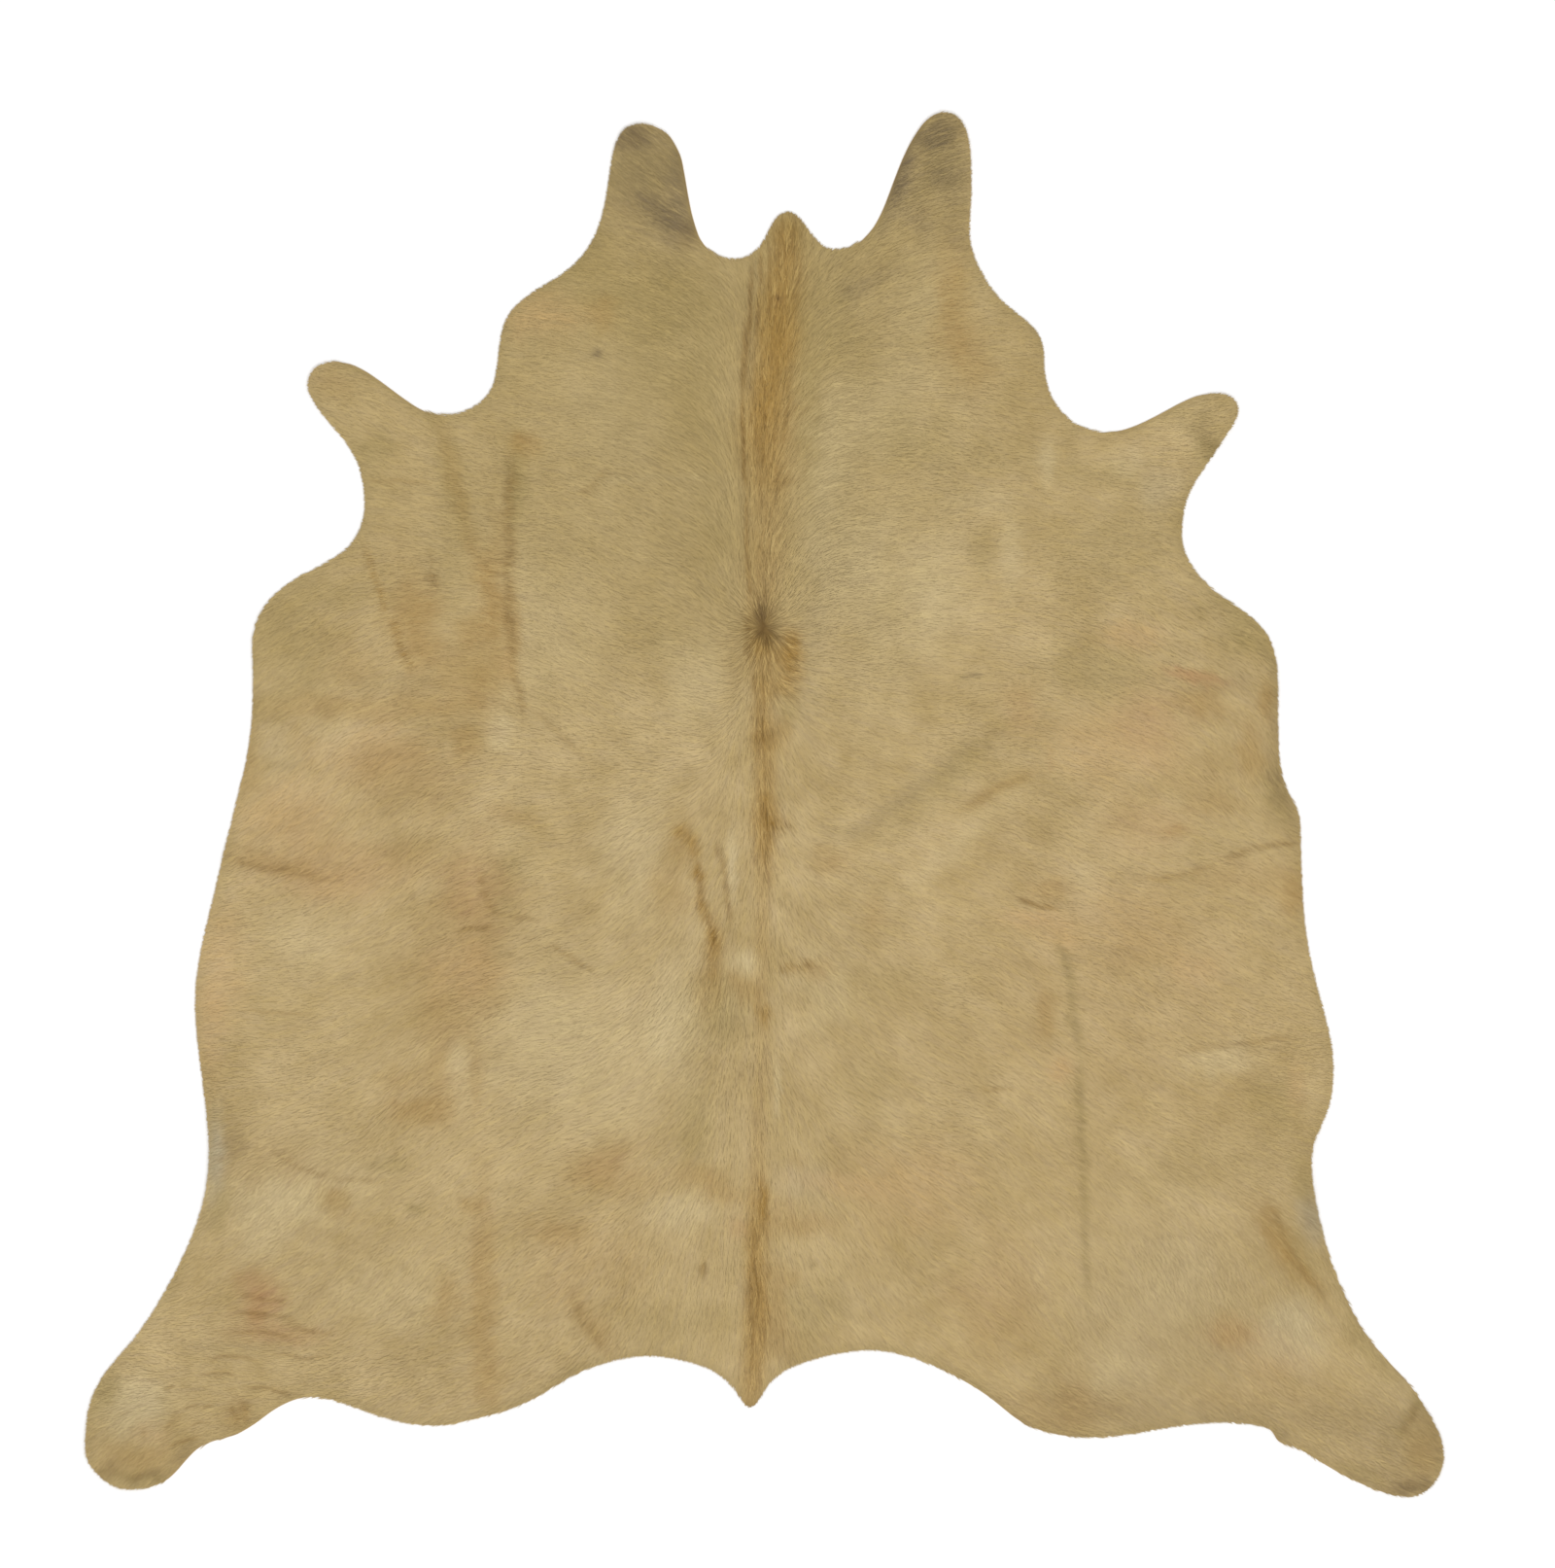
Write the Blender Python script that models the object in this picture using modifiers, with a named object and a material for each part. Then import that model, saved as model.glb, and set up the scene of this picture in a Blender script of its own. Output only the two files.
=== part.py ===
"""A whole cowhide rug, hair side up, lying flat on a floor with its own soft folds.

The hide is one skin cut to one outline: two long neck lobes with a small nub between them, two
forelegs, two hind legs and a short tail point. +Y runs along the spine to the neck, +X to the right
as seen from above, +Z up from the floor. The origin is under the middle of the hide's box.
"""
import math

import bmesh
import bpy
import numpy as np
from mathutils import Vector
from mathutils.geometry import delaunay_2d_cdt, interpolate_bezier

MM = 0.001

# Depth of the skin with its coat lying on it, in millimetres
FULL_DEPTH = 8.0
BODY_DEPTH = 5.0
RIM_DEPTH = 3.6
RIM_REACH = 26.0
SPINE_COAT_REACH = 62.0

# Spacing of the points of the sheet, in millimetres
OUTLINE_STEP = 27.0
OUTLINE_TURN = 12.0
BODY_STEP = 46.0
FOLD_STEP = 26.0
SPINE_STEP = 40.0
CLEAR_OF_OUTLINE = 13.0
CLEAR_OF_FOLDS = 24.0
CLEAR_IN_FOLDS = 8.0

# The cut edge, clockwise from above: where it passes and which way it heads there
# Columns: x_mm, y_mm, heading_deg (0 towards +X, 90 towards +Y)
OUTLINE = {
    "nub and right neck lobe": (
        (37, 941, 0), (72, 910, -53), (113, 881, 0), (155, 897, 40), (195, 963, 69),
        (246, 1074, 54), (286, 1100, 0), (326, 1049, -83), (329, 968, -90), (326, 907, -87),
    ),
    "right shoulder and foreleg": (
        (347, 842, -60), (388, 790, -38), (428, 757, -48), (444, 716, -90), (454, 652, -66),
        (486, 610, -38), (541, 592, 0), (639, 627, 28), (713, 654, 0), (753, 628, -90),
        (732, 584, -122), (685, 514, -122), (663, 428, -90), (700, 353, -45),
    ),
    "right flank": (
        (761, 307, -36), (800, 268, -62), (816, 174, -90), (819, 63, -84), (839, 8, -55),
        (851, -35, -88), (856, -162, -86), (881, -301, -75), (904, -418, -90),
        (886, -507, -118), (869, -564, -90),
    ),
    "right hind leg": (
        (888, -683, -75), (946, -824, -60), (1017, -910, -47), (1064, -982, -60),
        (1079, -1034, -90), (1061, -1080, -130), (1022, -1099, 180), (946, -1078, 157),
        (864, -1032, 148), (828, -1016, 175), (811, -1004, 115), (787, -985, 172),
    ),
    "rump and tail": (
        (722, -981, 180), (515, -1005, 180), (418, -986, 155), (358, -942, 144),
        (263, -888, 155), (167, -866, 180), (54, -889, -160), (2, -925, -128),
        (-22, -957, 180), (-44, -930, 130), (-98, -891, 162), (-185, -875, 180),
        (-288, -899, -158), (-370, -946, -153), (-442, -971, -166), (-524, -986, 180),
        (-628, -965, 161), (-717, -941, 180),
    ),
    "left hind leg": (
        (-783, -965, -146), (-836, -1000, -158), (-900, -1024, -142), (-952, -1075, -150),
        (-1011, -1087, 180), (-1059, -1062, 135), (-1078, -1023, 90), (-1058, -921, 62),
        (-1001, -849, 52), (-926, -725, 64),
    ),
    "left flank": (
        (-881, -557, 90), (-903, -313, 90), (-881, -175, 76), (-829, 38, 75),
        (-811, 197, 90), (-812, 256, 90), (-784, 326, 50), (-718, 373, 30),
    ),
    "left foreleg": (
        (-669, 400, 40), (-634, 475, 90), (-660, 571, 126), (-721, 651, 116),
        (-721, 682, 66), (-680, 704, 0), (-594, 662, -36), (-506, 618, 0), (-445, 643, 43),
    ),
    "left shoulder and neck lobe": (
        (-422, 710, 83), (-400, 785, 50), (-319, 843, 34), (-267, 907, 66), (-245, 1000, 82),
        (-226, 1068, 55), (-195, 1081, 0), (-147, 1059, -50), (-120, 969, -78),
        (-104, 906, -67), (-49, 866, 0), (-5, 887, 50),
    ),
}

# Soft folds where the skin lifts off the floor, each along a bent line of three points
# Columns: start_x, start_y, middle_x, middle_y, end_x, end_y, height, half_width (mm)
FOLDS = {
    "left neck crease": (-407, 600, -405, 367, -381, 115, 6.0, 27),
    "left shoulder roll": (-505, 640, -470, 444, -433, 255, 5.0, 32),
    "left shoulder slant": (-650, 452, -600, 320, -555, 203, 4.5, 26),
    "right back slant": (90, -46, 214, -12, 405, 132, 6.0, 36),
    "right back low slant": (214, -75, 330, -12, 466, 85, 4.0, 30),
    "right flank long crease": (461, -195, 503, -436, 521, -812, 5.0, 27),
    "right edge crease": (890, -60, 734, -81, 578, -117, 4.5, 27),
    "left edge crease": (-910, -72, -759, -101, -612, -146, 4.5, 28),
    "left flank bend": (-455, -75, -420, -190, -258, -278, 4.5, 26),
    "ridge left of the spine": (-140, -34, -100, -112, -68, -250, 5.0, 21),
    "ridge by the spine": (-66, -40, -58, -143, -14, -288, 4.0, 19),
    "right hind fold": (790, -600, 847, -714, 948, -835, 6.5, 32),
    "rump crease": (-312, -760, -280, -830, -236, -905, 3.5, 24),
    "left belly crease": (-745, -585, -643, -591, -510, -595, 3.0, 24),
    "left rump ridge": (-456, -365, -450, -467, -474, -552, 4.0, 26),
    "neck cross crease": (-296, 500, -149, 506, -30, 510, 2.5, 24),
    "crease right of the spine": (14, -265, 83, -259, 185, -242, 3.0, 22),
    "left hock wrinkle": (-995, -985, -929, -984, -845, -955, 4.0, 27),
    "right hock wrinkle": (998, -1020, 1030, -975, 1072, -925, 4.0, 26),
    "right neck roll": (303, 900, 314, 768, 332, 640, 3.0, 34),
    "right shoulder wrinkle": (550, 278, 654, 212, 750, 170, 3.0, 27),
}

# Places where the skin stands a little clear of the floor, most of them curled edges
# Columns: x, y, reach, height (mm)
RISES = {
    "left neck lobe end": (-196, 1095, 120, 5.0),
    "right neck lobe end": (292, 1112, 130, 6.0),
    "left foreleg end": (-740, 690, 110, 5.0),
    "right foreleg end": (770, 632, 110, 5.0),
    "left belly edge": (-905, -555, 130, 5.5),
    "right belly edge": (890, -590, 135, 6.0),
    "left hind leg end": (-1085, -1060, 150, 6.0),
    "right hind leg end": (1090, -1070, 150, 6.0),
    "left elbow": (-830, 260, 110, 4.0),
    "right elbow": (845, 190, 110, 4.0),
    "nub": (38, 955, 60, 3.0),
    "notch in the right hind leg": (812, -1020, 60, 3.0),
}

# The spine, where the coat is longest, from the nub to the tail
# Columns: x_mm, y_mm, share of the longest coat
SPINE = (
    (42, 938, 0.55),
    (22, 800, 0.80),
    (4, 600, 1.00),
    (-2, 300, 1.00),
    (-2, 0, 0.70),
    (-4, -350, 0.50),
    (-16, -700, 0.75),
    (-22, -945, 0.85),
)


def cut_edge():
    """Points of the closed outline, clockwise, in millimetres."""
    landmarks = [row for section in OUTLINE.values() for row in section]
    points = []
    for number, (x, y, heading) in enumerate(landmarks):
        next_x, next_y, next_heading = landmarks[(number + 1) % len(landmarks)]
        chord = math.hypot(next_x - x, next_y - y)
        turn = (next_heading - heading + 180) % 360 - 180
        reach = chord / (3 * math.cos(math.radians(turn / 4)) ** 2)
        leave = Vector((x + reach * math.cos(math.radians(heading)),
                        y + reach * math.sin(math.radians(heading))))
        arrive = Vector((next_x - reach * math.cos(math.radians(next_heading)),
                         next_y - reach * math.sin(math.radians(next_heading))))
        pieces = max(1, round(chord / OUTLINE_STEP), round(abs(turn) / OUTLINE_TURN))
        curve = interpolate_bezier(Vector((x, y)), leave, arrive, Vector((next_x, next_y)), pieces + 1)
        points.extend(tuple(point) for point in curve[:-1])
    return np.array(points)


def bent_line(start, middle, end, count):
    """Points along a smooth line through three points, at even steps of its parameter."""
    t = np.linspace(0.0, 1.0, count)[:, None]
    return (2 * (t - 0.5) * (t - 1) * np.array(start)
            - 4 * t * (t - 1) * np.array(middle)
            + 2 * t * (t - 0.5) * np.array(end))


def nearest_on(line, points):
    """For each point, its distance to a line of points and how far along the line that is, 0 to 1."""
    best = np.full(len(points), 1e9)
    along = np.zeros(len(points))
    for number in range(len(line) - 1):
        a = line[number]
        span = line[number + 1] - a
        t = np.clip(((points - a) @ span) / (span @ span), 0.0, 1.0)
        gap = np.linalg.norm(points - (a + t[:, None] * span), axis=1)
        closer = gap < best
        best = np.where(closer, gap, best)
        along = np.where(closer, (number + t) / (len(line) - 1), along)
    return best, along


def bell(gap, reach):
    """1 at no distance, falling smoothly to exactly 0 at the reach."""
    return np.clip(1.0 - (gap / reach) ** 2, 0.0, 1.0) ** 2


def fold_line(row, count=25):
    """The middle line of a fold."""
    return bent_line(row[0:2], row[2:4], row[4:6], count)


def height_of_skin(points):
    """How far the underside stands above the floor at each point, in millimetres."""
    height = np.zeros(len(points))
    for number, row in enumerate(FOLDS.values()):
        gap, along = nearest_on(fold_line(row), points)
        swell = np.sin(np.pi * np.clip(along, 0.03, 0.97)) ** 0.7
        uneven = 1.0 + 0.22 * np.sin(9.0 * along + 1.7 * number)
        height += row[6] * swell * uneven * bell(gap, row[7])
    for x, y, reach, rise in RISES.values():
        height += rise * bell(np.linalg.norm(points - np.array((x, y)), axis=1), reach)
    return height


def depth_of_hide(points, edge_gap):
    """Skin and coat together, top to bottom, at each point, in millimetres."""
    spine = np.array([row[:2] for row in SPINE], dtype=float)
    share = np.array([row[2] for row in SPINE])
    gap, along = nearest_on(spine, points)
    longest = np.interp(along * (len(SPINE) - 1), np.arange(len(SPINE)), share)
    depth = BODY_DEPTH + (FULL_DEPTH - BODY_DEPTH) * longest * bell(gap, SPINE_COAT_REACH)
    to_rim = np.clip(edge_gap / RIM_REACH, 0.0, 1.0)
    return RIM_DEPTH + (depth - RIM_DEPTH) * np.sqrt(to_rim)


def gap_to_edge(points, edge):
    """Distance to the cut edge, below 0 outside it."""
    gap, _ = nearest_on(np.vstack((edge, edge[:1])), points)
    inside = np.zeros(len(points), dtype=bool)
    for a, b in zip(edge, np.roll(edge, -1, axis=0)):
        crosses = (a[1] > points[:, 1]) != (b[1] > points[:, 1])
        rise = b[1] - a[1] if abs(b[1] - a[1]) > 1e-9 else 1e-9
        inside ^= crosses & (points[:, 0] < a[0] + (points[:, 1] - a[1]) * (b[0] - a[0]) / rise)
    return np.where(inside, gap, -gap)


def add_clear(kept, new, clearance):
    """Add each new point that stands clear of all the points kept so far."""
    for point in new:
        if not len(kept) or np.linalg.norm(np.array(kept) - point, axis=1).min() > clearance:
            kept.append(point)


def inner_points(edge):
    """Points inside the outline: rows along the folds and the spine, and an even net between them."""
    rows = []
    for row in FOLDS.values():
        line = fold_line(row)
        length = np.linalg.norm(np.diff(line, axis=0), axis=1).sum()
        line = fold_line(row, max(3, round(length / FOLD_STEP) + 1))
        along = np.gradient(line, axis=0)
        across = np.stack((-along[:, 1], along[:, 0]), axis=1)
        across /= np.linalg.norm(across, axis=1)[:, None]
        for share in (0.0, -0.52, 0.52, -1.02, 1.02):
            add_clear(rows, line + across * share * row[7], CLEAR_IN_FOLDS)
    for (x, y, _), (next_x, next_y, _) in zip(SPINE, SPINE[1:]):
        count = round(math.hypot(next_x - x, next_y - y) / SPINE_STEP)
        for t in np.arange(count) / count:
            middle = np.array((x + (next_x - x) * t, y + (next_y - y) * t))
            for side in (0.0, -0.5, 0.5, -1.0, 1.0):
                add_clear(rows, [middle + np.array((side * SPINE_COAT_REACH, 0.0))], 0.55 * CLEAR_OF_FOLDS)
    rows = np.array(rows)

    low, high = edge.min(axis=0), edge.max(axis=0)
    net = []
    for number, y in enumerate(np.arange(low[1], high[1], BODY_STEP * math.sqrt(0.75))):
        shift = 0.5 * BODY_STEP * (number % 2)
        net.extend((x + shift, y) for x in np.arange(low[0], high[0], BODY_STEP))
    net = np.array(net)
    clear = np.array([np.linalg.norm(rows - point, axis=1).min() for point in net]) > CLEAR_OF_FOLDS
    net = net[clear]

    points = np.vstack((rows, net))
    gap = gap_to_edge(points, edge)
    wanted = np.where(np.arange(len(points)) < len(rows), CLEAR_OF_OUTLINE, 0.45 * BODY_STEP)
    return points[gap > wanted]


def build_hide(collection):
    """The hide: a sheet of points inside the cut edge, lifted by its folds and given its depth."""
    edge = cut_edge()
    inside = inner_points(edge)
    points = np.vstack((edge, inside))
    loop = list(range(len(edge)))[::-1]
    corners, _, faces, _, _, _ = delaunay_2d_cdt([Vector(point) for point in points], [], [loop], 1, 1e-4)
    flat = np.array([tuple(corner) for corner in corners])

    rise = height_of_skin(flat)
    depth = depth_of_hide(flat, np.maximum(gap_to_edge(flat, edge), 0.0))
    centre = (edge.min(axis=0) + edge.max(axis=0)) / 2

    mesh = bpy.data.meshes.new("hide")
    lifted = np.column_stack((flat - centre, rise)) * MM
    mesh.from_pydata([tuple(point) for point in lifted], [], faces)
    turned = bmesh.new()
    turned.from_mesh(mesh)
    bmesh.ops.reverse_faces(turned, faces=[face for face in turned.faces if face.normal.z < 0])
    turned.to_mesh(mesh)
    turned.free()

    hide = bpy.data.objects.new("hide", mesh)
    collection.objects.link(hide)
    group = hide.vertex_groups.new(name="depth of the coat")
    for number, value in enumerate(depth / FULL_DEPTH):
        group.add([number], float(value), "REPLACE")
    mesh.shade_smooth()

    thicken = hide.modifiers.new("skin and coat", "SOLIDIFY")
    thicken.thickness = FULL_DEPTH * MM
    thicken.offset = 1.0
    thicken.vertex_group = group.name
    thicken.use_even_offset = False
    return hide


def coat_material():
    """The pale golden coat."""
    material = bpy.data.materials.new("hide_coat")
    material.use_nodes = True
    shader = material.node_tree.nodes["Principled BSDF"]
    shader.inputs["Base Color"].default_value = (0.46, 0.33, 0.16, 1.0)
    shader.inputs["Roughness"].default_value = 0.55
    shader.inputs["Metallic"].default_value = 0.0
    return material


def main():
    for item in list(bpy.data.objects):
        bpy.data.objects.remove(item, do_unlink=True)
    collection = bpy.data.collections.new("cowhide")
    bpy.context.scene.collection.children.link(collection)
    hide = build_hide(collection)
    hide.data.materials.append(coat_material())


main()
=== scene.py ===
"""A cowhide rug lying hair side up: its skin, its coat and their colouring, the light and the camera."""
import math

import bmesh
import bpy
import numpy as np
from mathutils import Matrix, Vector
from mathutils.bvhtree import BVHTree
from mathutils.geometry import delaunay_2d_cdt


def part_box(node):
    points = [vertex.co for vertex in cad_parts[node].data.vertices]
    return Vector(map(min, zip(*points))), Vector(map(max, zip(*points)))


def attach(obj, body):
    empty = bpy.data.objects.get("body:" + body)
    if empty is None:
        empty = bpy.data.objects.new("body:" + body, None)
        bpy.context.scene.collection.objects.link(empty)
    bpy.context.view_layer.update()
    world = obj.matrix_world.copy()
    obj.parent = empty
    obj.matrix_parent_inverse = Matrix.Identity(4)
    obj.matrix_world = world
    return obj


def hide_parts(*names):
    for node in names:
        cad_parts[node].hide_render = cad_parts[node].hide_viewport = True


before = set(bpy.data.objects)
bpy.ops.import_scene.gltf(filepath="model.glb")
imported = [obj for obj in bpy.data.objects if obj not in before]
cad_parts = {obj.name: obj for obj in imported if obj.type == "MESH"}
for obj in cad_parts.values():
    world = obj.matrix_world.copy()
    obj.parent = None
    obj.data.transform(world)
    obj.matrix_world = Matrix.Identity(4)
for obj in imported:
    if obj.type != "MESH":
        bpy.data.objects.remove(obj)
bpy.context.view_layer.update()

MM = 0.001
NODE = "hide"

# Spacing of the charts, of the cut edge and of the skin's nets, in metres
CHART_PITCH = 0.005
MARK_PITCH = 0.002
CHART_MARGIN = 0.03
EDGE_PITCH = 0.0075
TOP_PITCH = 0.0077
UNDER_PITCH = 0.024
NET_JITTER = 0.22

# The skin: how far its edge stays inside the solid's, its share of the solid's depth, the least it
# may have in metres, how much of a crease's depth it takes, and the band at the rim without waves
EDGE_INSET = 0.0008
SKIN_SHARE = 0.66
LEAST_SKIN = 0.0008
CREASE_IN_SKIN = 0.8
CALM_RIM = 0.02

# Soft waves of the skin. Columns: size and swing in metres
WAVES = ((0.190, 0.0006), (0.085, 0.0004), (0.034, 0.00022))

# How the cut edge is rounded: inward bite in metres and share of the skin's height, from top to bottom
RIM_BITE = 0.0006
RIM_RINGS = ((0.00015, 0.82), (0.0, 0.5), (0.00015, 0.18))

# Where the skin's parts lie on its map: share of the map's side, corner_x, corner_y
MAP_PLACES = {
    "hair side": (0.74, 0.004, 0.004),
    "cut edge": (0.2, 0.78, 0.3),
    "underside": (0.24, 0.755, 0.004),
}
MAP_MARGIN = 0.004

# The hairs, in metres: spacing, width, longest reach over the edge, and length by place
HAIR_PITCH = 0.00282
HAIR_WIDTH = 0.0014
HAIR_OVER_EDGE = 0.0037
BODY_HAIR = 0.026
SPINE_HAIR = 0.040
LIMB_HAIR = 0.019
WHORL_HAIR = 0.022
SPINE_HAIR_REACH = 0.045
WHORL_HAIR_REACH = 0.05

# Where the legs and neck lobes start, as metres from the rug's middle, and how soft the change is
LIMB_START = 0.72
LIMB_FADE = 0.25

# Ranges that each hair draws from: shares of its length, of its reach over the edge and of its width,
# and its lift in shares of the coat's depth. Below them, how far in pitches a root strays, and the
# least share of its length that a hair keeps at the edge
LENGTH_RANGE = (0.72, 1.2)
OVER_EDGE_RANGE = (0.2, 1.0)
WIDTH_RANGE = (0.7, 1.25)
HAIR_LIFT = (0.65, 1.0)
ROOT_JITTER = 0.3
SHORTEST_CUT = 0.12

# How a hair lies: spread of its direction and its roll in degrees, curl towards its tip, depth of
# its root in the skin, heights of its middle and tip in shares of its lift, the middle's place
# along it, and the coat's least depth in metres
COMB_SPREAD = 7.0
HAIR_ROLL = 4.0
HAIR_CURL = 1.3
ROOT_SUNK = 0.0002
MID_HEIGHT = 0.8
TIP_HEIGHT = 0.72
MID_ALONG = 0.55
LEAST_COAT = 0.0009

# How many pieces the coat is split into, from tail to neck
HAIR_BANDS = 5

# Streaks in the coat: steps along the comb each way, and their share in a hair's tone
STREAK_STEPS = 9
STREAK_IN_TONE = 0.7

# The whorl between the shoulders, where the hair turns from neckward to tailward
WHORL = (-0.002, 0.282)
WHORL_REACH = 0.075

# Slow drifts of the comb. Columns: turn_deg, size in metres, seed
COMB_DRIFT = ((9, 0.11, 5), (6, 0.045, 6))

# Camera straight down, 10 m up
PHOTO_SIZE = (1600, 1613)
METRES_PER_PIXEL = 0.001544
RUG_CENTRE_PIXEL = (786.5, 827.5)
CAMERA_HEIGHT = 10.0
SENSOR = 36.0

# The floor's half side and how far it stays clear of the underside, in metres
FLOOR_HALF = 9.0
FLOOR_DROP = 0.0004

# Soft light: from all round, and from one wide sun nearly overhead
ROUND_LIGHT = 0.72
SUN_PLACE = (0.5, -1.3, 4.2)
SUN_WIDTH_DEG = 50
SUN_STRENGTH = 1.55

# Spine line: x_mm, y_mm, share of the longest coat, half-width of the dark band in mm
SPINE = (
    (42, 938, 0.55, 26),
    (22, 800, 0.80, 36),
    (4, 600, 1.00, 38),
    (-2, 300, 1.00, 26),
    (-2, 0, 0.70, 15),
    (-4, -350, 0.50, 13),
    (-16, -700, 0.75, 17),
    (-22, -945, 0.85, 22),
)

# Which way the hair lies: degrees, 0 towards +X and 90 towards +Y
# Columns: y_mm, then the direction at COMB_REACH from the spine
COMB_REACH = (30, 115, 320, 550, 800, 1000)
COMB = {
    "left": (
        (1000, 98, 145, 147, 150, 150, 150),
        (830, 97, 147, 178, 180, 180, 180),
        (600, 95, 155, 176, 162, 155, 155),
        (400, 96, 154, 165, 180, 215, 215),
        (290, 100, 158, 155, 190, 220, 220),
        (100, 262, 172, 160, 200, 226, 226),
        (-60, 258, 237, 191, 217, 210, 210),
        (-200, 266, 243, 190, 212, 194, 194),
        (-400, 270, 230, 196, 217, 181, 181),
        (-600, 266, 236, 205, 217, 218, 218),
        (-750, 268, 248, 212, 230, 215, 215),
        (-880, 269, 262, 217, 200, 180, 180),
        (-1020, 270, 262, 217, 200, 200, 226),
    ),
    "right": (
        (1000, 75, 25, 15, 15, 15, 15),
        (830, 74, 30, 4, 0, 0, 0),
        (600, 60, 5, -9, 0, 27, 27),
        (400, 60, 8, 6, -14, -35, -35),
        (290, 40, 8, 5, -18, -34, -34),
        (100, -70, -18, -4, -22, -60, -60),
        (-60, -70, -12, -14, -18, -33, -33),
        (-200, -58, -34, -20, -22, -28, -28),
        (-400, -68, -42, -26, -38, -10, -10),
        (-600, -80, -46, -25, -48, -20, -20),
        (-750, -82, -60, -32, -58, -62, -62),
        (-880, -87, -62, -33, -40, -48, -48),
        (-1020, -87, -62, -20, -16, -28, -30),
    ),
}

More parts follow.
